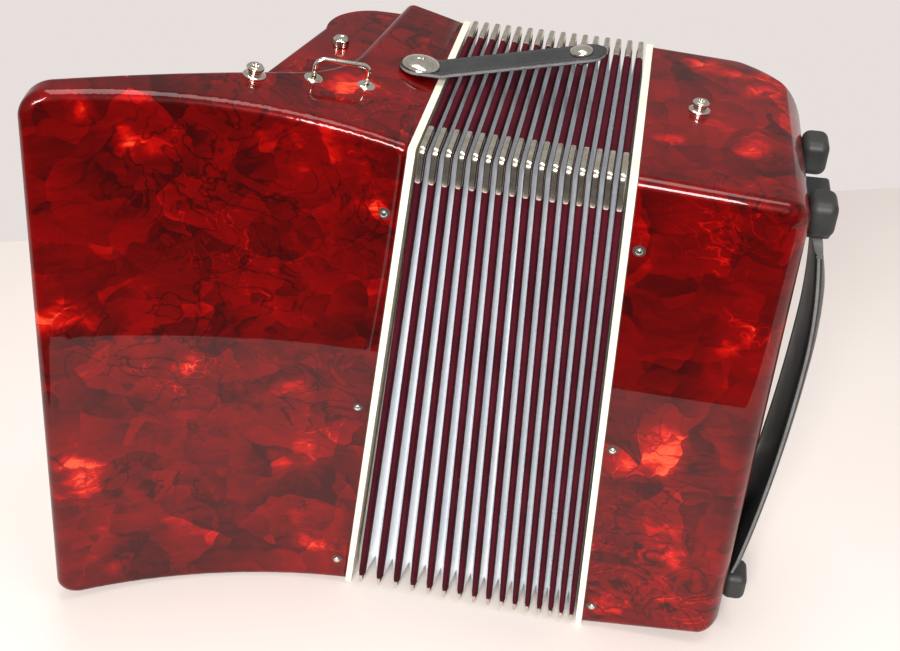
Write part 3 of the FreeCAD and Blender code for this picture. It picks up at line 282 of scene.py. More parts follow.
MAT = {
    "pearl": pearloid(),
    "ivory": gloss("ivory_celluloid", (0.86, 0.79, 0.64), 0.25, 0.5),
    "key_ivory": gloss("key_ivory", (0.88, 0.84, 0.74), 0.18, 0.7, 0.03, 60),
    "ebony": gloss("key_ebony", (0.010, 0.010, 0.011), 0.2, 0.7),
    # colour of the thin dark band along each case's joint with its frame: painted shadow, not a glue line
    "seam": gloss("painted_shadow_band", (0.06, 0.012, 0.012), 0.5, 0.0),
    "nickel": nickel("polished_nickel"),
    "guard": nickel("guard_nickel", (0.80, 0.76, 0.66), 0.16),
    "steel": nickel("ground_steel", (0.55, 0.55, 0.56), 0.3),
    "tape": cloth("burgundy_tape", (0.034, 0.002, 0.006), (0.078, 0.006, 0.014), sheen=0.0, specular=0.08),
    "paper": silver_paper(),
    "gusset": cloth("pale_gusset", (0.89, 0.92, 0.96), (0.96, 0.98, 1.0), 1800, 0.1, 0.5, 0.2),
    "leather": leather("black_leather"),
    "cut_edge": leather("leather_cut_edge", (0.10, 0.10, 0.10), (0.22, 0.22, 0.22), 0.7, 1500),
    "thread": cloth("stitching_thread", (0.02, 0.02, 0.02), (0.06, 0.06, 0.06), 5200),
    "plastic": moulded("black_plastic", (0.012, 0.012, 0.013)),
    "rubber": moulded("foot_rubber", (0.014, 0.014, 0.014), 0.55, 700),
    "button": pearl_button(),
    "wood": wood("reed_wood"),
    "key_wood": wood("key_wood", (0.46, 0.32, 0.18), (0.74, 0.58, 0.38)),
    "aluminium": nickel("mechanism_aluminium", (0.68, 0.68, 0.69), 0.35),
    "felt": cloth("black_felt", (0.012, 0.010, 0.010), (0.04, 0.03, 0.03), 900, 0.5, 0.95, 0.6),
}

# ---------------------------------------------------------------- mesh helpers


def add_piece(name, mesh, body=None, stands_for=()):
    """Link a mesh as a visible piece of the object."""
    obj = bpy.data.objects.new(name, mesh)
    bpy.context.scene.collection.objects.link(obj)
    if stands_for:
        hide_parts(*stands_for)
    if body:
        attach(obj, body)
    return obj


def mesh_from(name, verts, faces, materials, indices=None, sharp=math.radians(35)):
    mesh = bpy.data.meshes.new(name)
    mesh.from_pydata([tuple(v) for v in verts], [], faces)
    for material in materials:
        mesh.materials.append(MAT[material])
    if indices:
        mesh.polygons.foreach_set("material_index", indices)
    tidy = bmesh.new()
    tidy.from_mesh(mesh)
    bmesh.ops.recalc_face_normals(tidy, faces=tidy.faces)
    tidy.to_mesh(mesh)
    tidy.free()
    soften(mesh, sharp)
    return mesh


def soften(mesh, sharp):
    mesh.shade_smooth()
    mesh.set_sharp_from_angle(angle=sharp)


def rounded_copy(node, name, material, slot, body, bevel=0.0, segments=3, sharp=35, paint=None):
    """A cleaned copy of a CAD node's mesh with its hard edges rounded, which stands for that node."""
    bm = bmesh.new()
    bm.from_mesh(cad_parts[node].data)
    bmesh.ops.remove_doubles(bm, verts=bm.verts, dist=2e-6)
    if bevel:
        bmesh.ops.dissolve_limit(bm, angle_limit=math.radians(1.0), verts=bm.verts, edges=bm.edges)
    if paint:
        paint(bm)
    mesh = bpy.data.meshes.new(name)
    bm.to_mesh(mesh)
    bm.free()
    mesh.materials.clear()
    for entry in [material] if isinstance(material, str) else material:
        mesh.materials.append(MAT[entry])
    soften(mesh, math.radians(sharp))
    obj = add_piece(name, mesh, body, [node])
    if bevel:
        modifier = obj.modifiers.new("rounding", "BEVEL")
        modifier.width = bevel
        modifier.segments = segments
        modifier.limit_method = "ANGLE"
        modifier.angle_limit = math.radians(32)
        modifier.harden_normals = True
    return obj


def grid_faces(rows, columns, closed_columns=True, closed_rows=False):
    """Quads between rows of points."""
    faces = []
    for r in range(rows if closed_rows else rows - 1):
        following = (r + 1) % rows
        for c in range(columns if closed_columns else columns - 1):
            d = (c + 1) % columns
            faces.append((r * columns + c, r * columns + d, following * columns + d, following * columns + c))
    return faces


def tube_faces(rows, columns):
    """Quads round a closed tube, and a cap on each end."""
    last = (rows - 1) * columns
    return grid_faces(rows, columns) + [tuple(range(columns)), tuple(range(last, last + columns))]


def polar(r, angle, z):
    return Vector((r * math.cos(angle), r * math.sin(angle), z))


def lathe(profile, place, steps):
    """Vertices and faces of an (r, z) profile turned about z and then placed."""
    turns = [2 * math.pi * k / steps for k in range(steps)]
    return [place @ polar(r, a, z) for r, z in profile for a in turns], tube_faces(len(profile), steps)


def joined(parts):
    """One set of vertices and faces from several."""
    verts, faces = [], []
    for v, f in parts:
        start = len(verts)
        verts.extend(v)
        faces.extend(tuple(i + start for i in face) for face in f)
    return verts, faces

# ---------------------------------------------------------------- bellows

FAN_SKEW = 0.33
FOLD_DEPTH = 13 * MM
PROUD = 1.1 * MM
FLOOR_GAP = 1.6 * MM
TAPE_HALF = 1.45 * MM
# shares of a wall's depth: how far the tape reaches down it, and the step at the tape's border
TAPE_REACH = 0.30
TAPE_STEP = 0.02
# a fold thins to this share over this height above its floor end
THIN_SHARE = 0.5
THIN_FROM, THIN_OVER = 2 * MM, 38 * MM
SEAM_A = [TREBLE @ Vector((STRIP, 0, z)) for z in (-HALF, HALF)]
SEAM_B = [BASS @ Vector((-STRIP, 0, z)) for z in (-HALF, HALF)]
BACK = SEAM_A[0].y


class FoldPlane:
    """The plane across the bellows at u, from 0 at the treble seam to 1 at the bass seam."""

    def __init__(self, u):
        self.u = u
        spread = u + FAN_SKEW * u * (1 - u)
        self.low = SEAM_A[0].lerp(SEAM_B[0], spread)
        top = SEAM_A[1].lerp(SEAM_B[1], u)
        self.height = (top - self.low).length
        self.up = (top - self.low).normalized()
        self.across = Vector((0, 1, 0)).cross(self.up).normalized()

    def point(self, y, h, s=0.0):
        """y from the back, h up the fold from the floor end, s along the bellows."""
        place = self.low + self.up * h + self.across * (s * narrowing(h))
        return Vector((place.x, BACK + y, place.z))


def narrowing(h):
    """Share of a fold's edge thickness that is left towards the floor end."""
    return THIN_SHARE + (1 - THIN_SHARE) * min(1.0, max(0.0, (h - THIN_FROM) / THIN_OVER))


def travel(angle):
    return Vector((-math.sin(angle), math.cos(angle)))


def corner_path(y, h, start, radius, legs, steps=6):
    """(point, outward angle) round one rounded corner whose sharp corner is (y, h), with a leg each side."""
    inward = Vector((math.cos(start) + math.cos(start + math.pi / 2),
                     math.sin(start) + math.sin(start + math.pi / 2)))
    centre = Vector((y, h)) - inward * radius
    turns = [start + math.pi / 2 * k / (steps - 1) for k in range(steps)]
    arc = [(centre + Vector((math.cos(a), math.sin(a))) * radius, a) for a in turns]
    before = [(arc[0][0] - travel(start) * d, start) for d in legs[0]]
    after = [(arc[-1][0] + travel(turns[-1]) * d, turns[-1]) for d in legs[1]]
    return before + arc + after


def fold_corners(height, t):
    """Sharp corners of a fold's outline with their first outward angles; t is 0 at a peak, 1 in a valley."""
    inset = -PROUD + (FOLD_DEPTH + PROUD) * t
    floor = FLOOR_GAP + (FOLD_DEPTH - FLOOR_GAP) * t
    y0, y1, h0, h1 = inset, DEPTH - inset, floor, height - inset
    return [(y0, h0, math.pi), (y1, h0, 1.5 * math.pi), (y1, h1, 0.0), (y0, h1, 0.5 * math.pi)]


REACH = ((20 * MM, 10 * MM), (10 * MM, 20 * MM))
CORNER_POINTS = 10
RING = 4 * CORNER_POINTS
PEAK_RADIUS, VALLEY_RADIUS = 3.2 * MM, 1.0 * MM


def fold_ring(plane, t, s):
    """One outline of a fold; t is 0 at a peak, 1 in a valley, and s is the offset along the bellows."""
    points = []
    radius = PEAK_RADIUS + (VALLEY_RADIUS - PEAK_RADIUS) * t
    for y, h, start in fold_corners(plane.height, t):
        for point, _ in corner_path(y, h, start, radius, REACH):
            points.append(plane.point(point.x, point.y, s))
    return points


# a taped edge's rings: (share of the fold's depth, offset in tape half widths)
TAPED_EDGE = ((0.05, -1.0), (0.012, -0.66), (0.0, 0.0), (0.012, 0.66), (0.05, 1.0))
# the same for the card under the tape, one on each side
BARE_EDGES = ((0.05, -0.82), (0.05, 0.82))
PAPER, TAPE, GUSSET = range(3)


def bellows_half(name, first, last, start_u, stop_u, bodies, nodes):
    """Eight pleats in one mesh: paper walls, taped edges and pale corner gussets."""
    rings, weights, paints = [], [], []

    def share(u):
        return (u - start_u) / (stop_u - start_u)

    def add(ring, weight, paint):
        rings.append(ring)
        weights.append(weight)
        paints.append(paint)

    def between(ring, valley, t):
        return [a.lerp(b, t) for a, b in zip(ring, valley)]

    valley_us = [start_u] + [fold / FOLDS for fold in range(first, last)] + [stop_u]
    valleys = [fold_ring(FoldPlane(u), 1.0, 0.0) for u in valley_us]
    add(valleys[0], 0.0, PAPER)
    for k, fold in enumerate(range(first, last + 1)):
        plane = FoldPlane((fold - 0.5) / FOLDS)
        peak = share(plane.u)
        edge = [fold_ring(plane, t, s * TAPE_HALF) for t, s in TAPED_EDGE]
        bare = [fold_ring(plane, t, s * TAPE_HALF) for t, s in BARE_EDGES]
        low, high = share(valley_us[k]), share(valley_us[k + 1])
        near_low, near_high = peak + (low - peak) * TAPE_REACH, peak + (high - peak) * TAPE_REACH
        add(between(bare[0], valleys[k], TAPE_REACH + TAPE_STEP), near_low, TAPE)
        add(between(edge[0], valleys[k], TAPE_REACH), near_low, TAPE)
        for ring in edge:
            add(ring, peak, TAPE)
        add(between(edge[-1], valleys[k + 1], TAPE_REACH), near_high, TAPE)
        add(between(bare[1], valleys[k + 1], TAPE_REACH + TAPE_STEP), near_high, PAPER)
        add(valleys[k + 1], high, PAPER)
    faces = grid_faces(len(rings), RING)
    indices = []
    for r in range(len(rings) - 1):
        for c in range(RING):
            corner = c % CORNER_POINTS != CORNER_POINTS - 1
            indices.append(paints[r] or (GUSSET if corner else PAPER))
    verts = [point for ring in rings for point in ring]
    mesh = mesh_from(name, verts, faces, ["paper", "tape", "gusset"], indices, math.radians(50))
    obj = add_piece(name, mesh, None, nodes)
    bend(obj, bodies)


def bend(obj, bodies):
    """Bake the piece's placement into its mesh, the same for either pair of bodies; nothing is blended across
    the fan or the slide.
    """
    a, b = bodies
    if a == "treble":
        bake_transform(obj)
    else:
        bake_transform(obj)


HALVES = (
    ("treble", 1, 8, 0.004, 0.5, ("treble", "bellows_middle"), "treble_half"),
    ("bass", 9, 16, 0.5, 0.996, ("bellows_middle", "bass"), "bass_half"),
)

# outline of a guard's channel: (offset across the fold, height above the fold's edge) in mm
CHANNEL = [(-1.68, -2.6), (-1.62, -0.5), (-1.2, 0.3), (0, 0.6), (1.2, 0.3), (1.62, -0.5), (1.68, -2.6),
           (1.53, -2.6), (1.48, -0.55), (1.1, 0.1), (0, 0.35), (-1.1, 0.1), (-1.48, -0.55), (-1.53, -2.6)]


# a guard's legs in mm at a floor corner and at an upper one: up the fold's side, and along its end
GUARD_LEGS = {"floor": (4, 10), "upper": (15, 20)}
# a guard's ends are drawn in to this share and sunk by this much in mm, over this length
TIP_SHARE, TIP_SINK, TIP_LENGTH = 0.72, 0.15, 0.8 * MM


def corner_guard(plane, corner):
    """A bent nickel channel over one corner of a fold."""
    y, h, start = fold_corners(plane.height, 0.0)[corner]
    upright, level = [length * MM for length in GUARD_LEGS["upper" if corner > 1 else "floor"]]
    first, second = (upright, level) if corner in (0, 2) else (level, upright)
    legs = ((first, first - TIP_LENGTH, first / 2), (second / 2, second - TIP_LENGTH, second))
    path = corner_path(y, h, start, PEAK_RADIUS, legs, 8)
    verts = []
    for k, (point, angle) in enumerate(path):
        share, sink = (TIP_SHARE, TIP_SINK) if k in (0, len(path) - 1) else (1.0, 0.0)
        out = Vector((math.cos(angle), math.sin(angle)))
        for s, e in CHANNEL:
            place = point + out * ((e * share - sink) * MM)
            verts.append(plane.point(place.x, place.y, s * share * MM))
    return verts, tube_faces(len(path), len(CHANNEL))


for half, first, last, start_u, stop_u, bodies, suffix in HALVES:
    bellows_half(f"bellows_pleats_{half}", first, last, start_u, stop_u, bodies, [f"bellows_folds_{suffix}"])
    parts, weights = [], []
    for fold in range(first, last + 1):
        plane = FoldPlane((fold - 0.5) / FOLDS)
        for corner in range(4):
            parts.append(corner_guard(plane, corner))
            weights.extend([(plane.u - start_u) / (stop_u - start_u)] * len(parts[-1][0]))
    mesh = mesh_from(f"fold_guards_{half}", *joined(parts), ["guard"])
    guards = add_piece(f"fold_guards_{half}", mesh, None, [f"corner_guards_{suffix}"])
    bend(guards, bodies)

# ---------------------------------------------------------------- cases, frames and boards


def case_copy(node, material, slot, body, bevel=0.0, **options):
    return rounded_copy(node, node + "_skin", material, slot, body, bevel * MM, **options)


for side in ("treble", "bass"):
    shell = case_copy(f"{side}_case", "pearl", "red_pearloid", side)
    even = shell.modifiers.new("even_normals", "WEIGHTED_NORMAL")
    even.keep_sharp = True
case_copy("treble_grille", "pearl", "red_pearloid", "treble", 0.7)
case_copy("treble_bellows_frame", "ivory", "ivory_strip", "treble", 0.5)
case_copy("bass_bellows_frame", "ivory", "ivory_strip", "bass", 0.5)
case_copy("bass_button_board", "plastic", "black_plastic", "bass", 0.3)
case_copy("bass_plate", "plastic", "black_plastic", "bass", 0.8)
case_copy("bass_feet", "rubber", "foot_rubber", "bass", 4.5, segments=6, sharp=45)
case_copy("strap_brackets", "plastic", "black_plastic", "bass", 1.8, segments=4)
case_copy("air_button", "button", "black_plastic", "air_button", 0.9, segments=4)
case_copy("key_bed", "wood", "inner_wood", "treble", 0.6)
case_copy("strap_bail", "nickel", "nickel", "treble")
case_copy("strap_snap_cap", "nickel", "nickel", "bellows_strap", 0.25)
for side in ("treble", "bass"):
    case_copy(f"{side}_bellows_pins", "nickel", "nickel", side, 0.2)
    case_copy(f"{side}_snap_stud", "nickel", "nickel", side, 0.2)
for chord in ("root", "major", "minor", "seventh"):
    row = f"bass_buttons_{chord}_row"
    case_copy(row, "button", "button_pearl", row, 0.8, segments=4)

PLAIN = {
    "steel": ["key_axle"],
    "wood": ["treble_soundboard", "treble_reed_blocks", "bass_reed_block"],
    "aluminium": ["bass_mechanism"],
    "paper": ["bellows_middle_fold"],
}
for material, members in PLAIN.items():
    for node in members:
        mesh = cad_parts[node].data
        mesh.materials.clear()
        mesh.materials.append(MAT[material])
        mesh.shade_smooth()

# ---------------------------------------------------------------- keys

PLASTIC_FROM = 0.8 * MM
LEVER_FROM = 111.5 * MM
FROM_KEYS = KEYS.inverted()


def paint_key(bm):
    """Split a key below its plastic top, and mark the wood below it and the lever behind."""
    plane_point = KEYS @ Vector((0, PLASTIC_FROM, 0))
    plane_normal = KEYS.to_3x3() @ Vector((0, 1, 0))
    everything = [*bm.verts, *bm.edges, *bm.faces]
    bmesh.ops.bisect_plane(bm, geom=everything, plane_co=plane_point, plane_no=plane_normal)
    for face in bm.faces:
        centre = FROM_KEYS @ face.calc_center_median()
        face.material_index = 0 if centre.y > PLASTIC_FROM and centre.x < LEVER_FROM else 1


for tone, count, material in (("white", 15, "key_ivory"), ("black", 10, "ebony")):
    slot = "ivory_key" if tone == "white" else "ebony_key"
    for index in range(1, count + 1):
        node = f"{tone}_key_{index:02d}"
        case_copy(node, [material, "key_wood" if tone == "white" else "ebony"], slot, node,
                  0.6 if tone == "white" else 0.9, paint=paint_key)

# ---------------------------------------------------------------- leather

STRAP = (TREBLE @ Matrix.Translation((-10 * MM, 74.5 * MM, HALF + 3.55 * MM))
         @ Matrix.Rotation(math.radians(11.5), 4, "Z"))


def smooth_step(t):
    t = min(1.0, max(0.0, t))
    return t * t * (3 - 2 * t)


# the bellows strap's own outline in mm, with its screw at x = 0
STRAP_START, STRAP_STOP = -10.5, 92.0
STRAP_HALF, STRAP_END_RADIUS = 8.7, 8.6
STRAP_THICKNESS = 2.15
STRAP_FLAT = 9
STRAP_SLOPE = 21.5 / 82.0


def strap_height(x):
    """Height of the strap's underside: flat under its screw, then a gentle rise to the free end."""
    if x <= STRAP_FLAT:
        return 0.0
    return STRAP_SLOPE * (x - 10) * smooth_step((x - STRAP_FLAT) / 5)


def strap_half_width(x):
    """Half width at x: full between two rounded ends."""
    past = max(STRAP_START + STRAP_END_RADIUS - x, x - STRAP_STOP + STRAP_END_RADIUS)
    if past <= 0:
        return STRAP_HALF
    return math.sqrt(max(STRAP_END_RADIUS**2 - past**2, 0.04)) / STRAP_END_RADIUS * STRAP_HALF


def bellows_strap():
    """Leather strap with a cut edge, and a creased line pressed in near each side."""
    across = [-1.0, -0.985, -0.90, -0.80, -0.765, -0.73, -0.4, 0.0, 0.4, 0.73, 0.765, 0.80, 0.90, 0.985, 1.0]
    drop = {-0.765: 0.28, 0.765: 0.28, -1.0: 0.45, 1.0: 0.45, -0.985: 0.12, 0.985: 0.12}
    stations = [-10.5 + 0.3 * k for k in range(4)] + [-9 + 1.7 * k for k in range(58)]
    stations = [x for x in stations if x < 90.6] + [90.8, 91.3, 91.7, 91.97]
    loops = []
    for x in stations:
        half = strap_half_width(x)
        z = strap_height(x)
        top = [(x, half * a, z + STRAP_THICKNESS - drop.get(a, 0)) for a in across]
        under = [(x, half * a, z + (0.35 if abs(a) == 1 else 0.05)) for a in reversed(across)]
        loops.append(top + under)
    count = len(loops[0])
    verts = [STRAP @ (Vector(p) * MM) for loop in loops for p in loop]
    faces = tube_faces(len(loops), count)
    edge = {len(across) - 1, count - 1}
    indices = [1 if c in edge else 0 for _ in range(len(loops) - 1) for c in range(count)] + [1, 1]
    return mesh_from("strap_leather", verts, faces, ["leather", "cut_edge"], indices, math.radians(40))


leather_strap = add_piece("bellows_strap_leather", bellows_strap(), None, ["bellows_strap"])
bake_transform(leather_strap)

# padded hand strap on the bass, in the bass frame
GRIP_Y, GRIP_HALF, GRIP_END = 44.0, 26.0, 111.6
GRIP_EDGE = 3.0
# (z, distance of the inner face from the bass seam) at its lower end, crest and upper end
GRIP_LOW, GRIP_CREST, GRIP_TOP = (-111.8, 82.6), (42.0, 94.0), (111.8, 88.3)


def grip_inner(z):
    """Distance of the strap's inner face from the bass seam: flat at its lower end, bowed out above."""
    below_crest = z < GRIP_CREST[0]
    (z0, x0), (z1, x1) = (GRIP_LOW, GRIP_CREST) if below_crest else (GRIP_CREST, GRIP_TOP)
    bow = 10.0 if below_crest else 7.2
    t = (z - z0) / (z1 - z0)
    return x0 + (x1 - x0) * t + bow * t * (1 - t)


def grip_section(z):
    """Closed section of the padded strap, as (x, y) in mm: edge binding, stitched groove and full pad."""
    fullness = smooth_step((GRIP_END - abs(z)) / 26)
    half = GRIP_HALF - 1.2 * (1 - smooth_step((GRIP_END - abs(z)) / 14))
    across = [1.0, 0.985, 0.95, 0.905, 0.88, 0.865, 0.85, 0.80, 0.70, 0.55, 0.38, 0.2, 0.0]
    rise = [-1.3, -0.35, 0.05, 0.0, -0.55, -0.65, -0.35, 0.5, 1.7, 2.6, 3.1, 3.4, 3.5]
    outer = [(a, GRIP_EDGE + (h if h < 0.1 else h * (0.35 + 0.65 * fullness))) for a, h in zip(across, rise)]
    inner = [(a, -(h if h < 0.1 else h * 0.2) if h > -1 else 1.3) for a, h in zip(across, rise)]
    points = [(grip_inner(z) + h, GRIP_Y + a * half) for a, h in outer]
    points += [(grip_inner(z) + h, GRIP_Y - a * half) for a, h in reversed(outer[:-1])]
    points += [(grip_inner(z) + h, GRIP_Y - a * half) for a, h in inner]
    points += [(grip_inner(z) + h, GRIP_Y + a * half) for a, h in reversed(inner[:-1])]
    return points


def hand_strap_mesh():
    stations = [GRIP_END * k / 44 for k in range(-44, 45)]
    sections = [grip_section(z) for z in stations]
    count = len(sections[0])
    verts = [BASS @ (Vector((x, y, z)) * MM) for z, section in zip(stations, sections) for x, y in section]
    faces = tube_faces(len(stations), count)
    cut = {0, count // 2 - 1, count // 2, count - 1}
    indices = [1 if c in cut else 0 for _ in range(len(stations) - 1) for c in range(count)] + [1, 1]
    return mesh_from("hand_strap_leather", verts, faces, ["leather", "cut_edge"], indices, math.radians(60))


def stitch(place, length=2.7, width=0.42, rings=7, sides=6):
    """One thread stitch lying along z, sunk a little at both ends."""
    verts = []
    for k in range(rings):
        t = k / (rings - 1)
        swell = math.sin(math.pi * (0.12 + 0.76 * t))
        rise = Vector((0.35 * swell - 0.25, 0, 0))
        for j in range(sides):
            point = polar(width * swell, 2 * math.pi * j / sides, (t - 0.5) * length)
            verts.append(place @ ((point + rise) * MM))
    return verts, tube_faces(rings, sides)


hand_strap = add_piece("hand_strap_leather", hand_strap_mesh(), "bass", ["bass_strap"])
# a row of stitches on each side of the pad: count, first z, pitch and distance from the middle line, in mm
STITCHES, STITCH_FROM, STITCH_PITCH, STITCH_Y = 52, -104, 4.0784, 22.7
stitches = []
for k in range(STITCHES):
    z = STITCH_FROM + STITCH_PITCH * k
    tilt = math.atan((grip_inner(z + 1) - grip_inner(z - 1)) / 2)
    for side in (-1, 1):
        spot = Vector((grip_inner(z) + GRIP_EDGE - 0.45, GRIP_Y + side * STITCH_Y, z)) * MM
        stitches.append(stitch(BASS @ Matrix.Translation(spot) @ Matrix.Rotation(tilt, 4, "Y")))
stitch_mesh = mesh_from("hand_strap_stitches", *joined(stitches), ["thread"], sharp=math.pi)
add_piece("hand_strap_stitches", stitch_mesh, "bass")

# ---------------------------------------------------------------- small fittings


# the strap screw's dome in mm: rim radius, the radius its curve would end at, base and rise
DOME_RIM, DOME_CURVE, DOME_BASE, DOME_RISE = 9.7, 9.78, 2.25, 3.45
# its cross slot: half width, half length and depth
SLOT_HALF, SLOT_REACH, SLOT_DEPTH = 0.48, 2.6, 1.1


def slotted_dome(place, steps=96, rows=34):
    """Domed screw head with a small cross slot, and its shank."""
    rings = []
    for k in range(rows):
        r = DOME_RIM * (k / (rows - 1)) ** 0.8
        rings.append((r, DOME_BASE + DOME_RISE * math.sqrt(max(0.0, 1 - (r / DOME_CURVE) ** 2))))
    rings += [(9.55, 2.3), (2.5, 2.25), (2.5, -6.0)]
    verts = []
    for k, (r, z) in enumerate(rings):
        for j in range(steps):
            point = polar(max(r, 0.01), 2 * math.pi * j / steps + 0.5, z)
            x, y = abs(point.x), abs(point.y)
            if k < rows and min(x, y) < SLOT_HALF and max(x, y) < SLOT_REACH:
                point.z -= SLOT_DEPTH
            verts.append(place @ (point * MM))
    return verts, tube_faces(len(rings), steps)


dome_mesh = mesh_from("strap_screw_dome", *slotted_dome(STRAP), ["nickel"])
add_piece("strap_screw_dome", dome_mesh, "treble", ["strap_screw"])

# a thumb screw's profile in mm: (radius, height, share of the knurl's depth)
THUMB_SCREW = [(1.5, -7.0, 0), (1.5, 0.0, 0), (3.7, 0.05, 0), (4.2, 0.45, 1), (4.2, 3.6, 1),
               (3.85, 4.05, 0.4), (3.3, 4.8, 0), (2.6, 4.75, 0), (1.9, 4.35, 0), (0.02, 4.3, 0)]
KNURL_DEPTH = 0.28
# where a thumb screw sits on the treble half, in mm; z is up or down from mid height
THUMB_X, THUMB_Y, THUMB_Z = -57, 96, 151


def knurled_screw(place, teeth=26):
    """Thumb screw with a knurled rim and a shallow dished top."""
    verts = []
    for r, z, knurl in THUMB_SCREW:
        for j in range(teeth * 4):
            a = 2 * math.pi * j / (teeth * 4)
            reach = r - KNURL_DEPTH * knurl * (0.5 - 0.5 * math.cos(a * teeth))
            verts.append(place @ (polar(reach, a, z) * MM))
    return verts, tube_faces(len(THUMB_SCREW), teeth * 4)


thumb_screws = []
for end, flip in ((1, 0.0), (-1, math.pi)):
    spot = Matrix.Translation(Vector((THUMB_X, THUMB_Y, end * THUMB_Z)) * MM)
    thumb_screws.append(knurled_screw(TREBLE @ spot @ Matrix.Rotation(flip, 4, "X")))
screw_mesh = mesh_from("grille_thumb_screws", *joined(thumb_screws), ["nickel"], sharp=math.radians(28))
add_piece("grille_thumb_screws", screw_mesh, "treble", ["grille_screws"])

PIN_HEIGHTS = (117, -10, -137)


def pin_shadow_rings(place, x, back_y, front_y):
    """Black rings round the heads of the bellows pins: painted shade standing for the shadow in their
    countersunk holes.
    """
    parts = []
    ring = [(2.0, 0.0), (2.2, 0.03), (2.9, 0.03), (3.1, 0.0), (3.1, -0.4), (2.0, -0.4)]
    for z in PIN_HEIGHTS:
        for y, turn in ((back_y, math.pi / 2), (front_y, -math.pi / 2)):
            spot = Matrix.Translation(Vector((x, y, z)) * MM) @ Matrix.Rotation(turn, 4, "X")
            parts.append(lathe([(r * MM, h * MM) for r, h in ring], place @ spot, 32))
    return joined(parts)


def shadow_band_loop(place, x0, x1, radius=5.0, proud=0.05):
    """A thin dark band round a case where it meets its ivory frame: painted shadow along the joint."""
    low_y, high_y, half = -proud, DEPTH / MM + proud, HALF / MM + proud
    corners = [(low_y, -half, math.pi), (high_y, -half, 1.5 * math.pi),
               (high_y, half, 0.0), (low_y, half, 0.5 * math.pi)]
    outline = []
    for y, z, start in corners:
        outline += [point / MM for point, _ in corner_path(y * MM, z * MM, start, radius * MM, ((), ()), 8)]
    count, verts = len(outline), []
    centre = Vector((DEPTH / MM / 2, 0))
    for x, shrink in ((x0, 0.6), (x0, 0.0), (x1, 0.0), (x1, 0.6)):
        for point in outline:
            toward = (centre - point).normalized() * shrink
            verts.append(place @ (Vector((x, point.x + toward.x, point.y + toward.y)) * MM))
    return verts, grid_faces(4, count, True, True)


# in mm for each half: its pins' x, back y and front y, and the span in x of the painted shadow line at the
# seam
FRAME_DETAILS = (
    ("treble", TREBLE, (-7, -0.42, 152), (-0.45, 0.02)),
    ("bass", BASS, (4.8, 0, 152), (-0.02, 0.45)),
)
for side, place, pins, span in FRAME_DETAILS:
    # black rings round the pin heads: painted shade in their countersinks
    mesh = mesh_from(f"{side}_pin_shadow_rings", *pin_shadow_rings(place, *pins), ["felt"])
    add_piece(f"{side}_pin_shadow_rings", mesh, side)
    # thin dark band along the case's joint with its frame: painted shadow
    mesh = mesh_from(f"{side}_painted_shadow_line", *shadow_band_loop(place, *span), ["seam"])
    add_piece(f"{side}_painted_shadow_line", mesh, side)


# the cloth's plane in the treble half, in mm: a point and the direction of the grille's front, and its limits
CLOTH_START, CLOTH_ALONG = Vector((-84, 50)), Vector((14, 68)).normalized()
CLOTH_INSET, CLOTH_THICKNESS = 3.1, 0.5
CLOTH_FROM, CLOTH_WIDTH, CLOTH_HALF = 9, 56, 134


def grille_cloth(rows=24, columns=60):
    """Dark woven panel behind the grille's sound slots, slightly slack between its edges."""
    inward = Vector((CLOTH_ALONG.y, -CLOTH_ALONG.x))
    start = CLOTH_START + inward * CLOTH_INSET
    verts = []
    for side in (0.0, CLOTH_THICKNESS):
        for i in range(rows):
            for j in range(columns):
                s = CLOTH_FROM + CLOTH_WIDTH * i / (rows - 1)
                z = CLOTH_HALF * (2 * j / (columns - 1) - 1)
                slack = 0.5 * math.sin(math.pi * i / (rows - 1)) * (1 + 0.4 * math.sin(z * 0.11))
                place = start + CLOTH_ALONG * s + inward * (side + slack)
                verts.append(TREBLE @ (Vector((place.x, place.y, z)) * MM))
    sheet = grid_faces(rows, columns, False)
    back = [tuple(v + rows * columns for v in reversed(face)) for face in sheet]
    return mesh_from("grille_cloth", verts, sheet + back, ["felt"])


add_piece("grille_cloth", grille_cloth(), "treble")

# ---------------------------------------------------------------- camera, floor and light

camera_data = bpy.data.cameras.new("camera")
camera_data.lens = 47.3
camera_data.sensor_width = 36
camera = bpy.data.objects.new("camera", camera_data)
bpy.context.scene.collection.objects.link(camera)
facing = Matrix(((0.97223, -0.22783, 0.05353), (0.18127, 0.58835, -0.78803), (0.14804, 0.77585, 0.61331)))
camera.matrix_world = TREBLE @ Matrix.Translation(Vector((66.7, -474.73, 428.8)) * MM) @ facing.to_4x4()
bpy.context.scene.camera = camera


def floor_material():
    b = Builder("pale_floor", Roughness=0.55)
    cloudy = b.noise(b.coords(), 3.0, 3).outputs[0]
    b.base(b.ramp(cloudy, [(0.3, (0.72, 0.655, 0.62)), (0.7, (0.76, 0.695, 0.66))]))
    b.bump(b.noise(b.coords(), 700, 2).outputs[0], 0.05, 0.0002)
    return b.material


# the table's slanting back edge, as a point and a direction, and its front edge
BACK_EDGE, BACK_ALONG = Vector((-0.421, 0.246, 0)), Vector((0.788, 0.309, 0))
FRONT_EDGE_Y = -0.28
TABLE_THICKNESS = 0.03


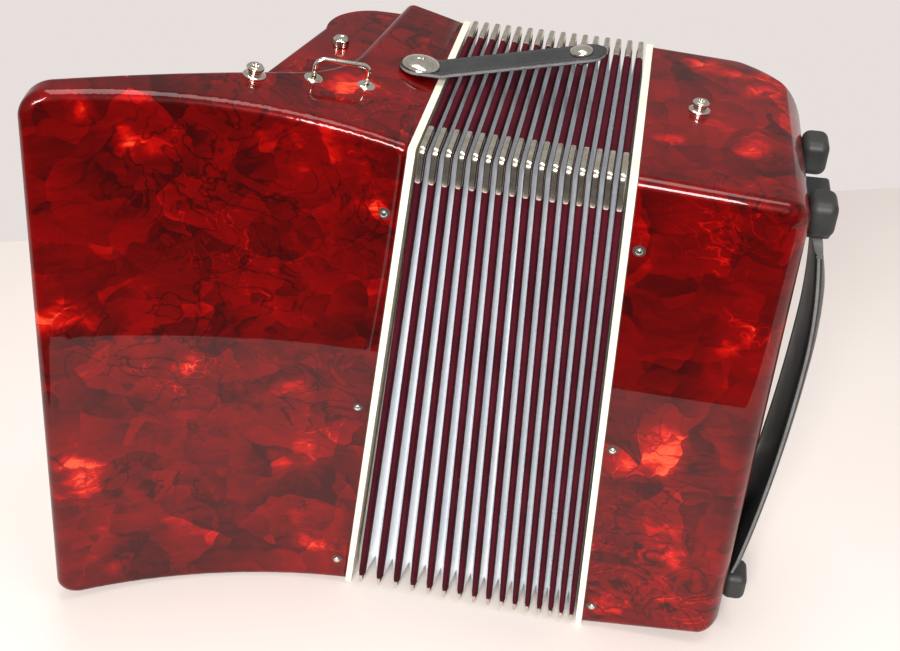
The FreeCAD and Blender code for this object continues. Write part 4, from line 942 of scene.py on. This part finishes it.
def table_top():
    """A pale table whose front edge is close in front of the object."""
    floor = bpy.data.meshes.new("floor")
    back = [BACK_EDGE + BACK_ALONG * t for t in (-1.35, 5.0)]
    corners = [Vector((back[0].x, FRONT_EDGE_Y, 0)), Vector((back[1].x, FRONT_EDGE_Y, 0)), back[1], back[0]]
    verts = corners + [c - Vector((0, 0, TABLE_THICKNESS)) for c in corners]
    faces = [(0, 1, 2, 3), (7, 6, 5, 4), (0, 4, 5, 1), (1, 5, 6, 2), (2, 6, 7, 3), (3, 7, 4, 0)]
    floor.from_pydata([tuple(v) for v in verts], [], faces)
    floor.materials.append(floor_material())
    obj = bpy.data.objects.new("floor", floor)
    bpy.context.scene.collection.objects.link(obj)


table_top()


def area_light(name, place, target, size, power, colour=(1, 1, 1)):
    data = bpy.data.lights.new(name, "AREA")
    data.shape = "RECTANGLE"
    data.size, data.size_y = size
    data.energy = power
    data.color = colour
    obj = bpy.data.objects.new(name, data)
    bpy.context.scene.collection.objects.link(obj)
    obj.location = place
    obj.rotation_euler = (Vector(target) - Vector(place)).to_track_quat("-Z", "Y").to_euler()


area_light("softbox_front", (0.06, -1.22, 0.98), (0, 0, 0.15), (0.6, 0.4), 31, (1, 0.985, 0.97))
area_light("softbox_top", (0.1, 0.1, 1.8), (0, 0, 0.1), (1.4, 0.5), 14, (1, 0.99, 0.97))


def room_light():
    """Pale surroundings: brighter above and behind, dimmer below the table's front edge."""
    world = bpy.data.worlds.new("room")
    world.use_nodes = True
    tree = world.node_tree
    direction = tree.nodes.new("ShaderNodeSeparateXYZ")
    tree.links.new(tree.nodes.new("ShaderNodeTexCoord").outputs["Generated"], direction.inputs[0])

    def rising(axis, start, stop):
        node = tree.nodes.new("ShaderNodeMapRange")
        node.inputs["From Min"].default_value = start
        node.inputs["From Max"].default_value = stop
        tree.links.new(direction.outputs[axis], node.inputs["Value"])
        return node.outputs[0]

    def mixed(factor, low, high):
        node = tree.nodes.new("ShaderNodeMix")
        node.data_type = "RGBA"
        tree.links.new(factor, node.inputs[0])
        for socket, value in ((node.inputs[6], low), (node.inputs[7], high)):
            if isinstance(value, bpy.types.NodeSocket):
                tree.links.new(value, socket)
            else:
                socket.default_value = (*value, 1)
        return node.outputs[2]

    below = mixed(rising("Y", -0.15, 0.15), (0.13, 0.12, 0.12), (0.80, 0.74, 0.72))
    room = mixed(rising("Z", -0.1, 0.25), below, (0.42, 0.41, 0.40))
    tree.links.new(room, tree.nodes["Background"].inputs["Color"])
    bpy.context.scene.world = world


room_light()
bpy.context.scene.view_settings.view_transform = "Standard"
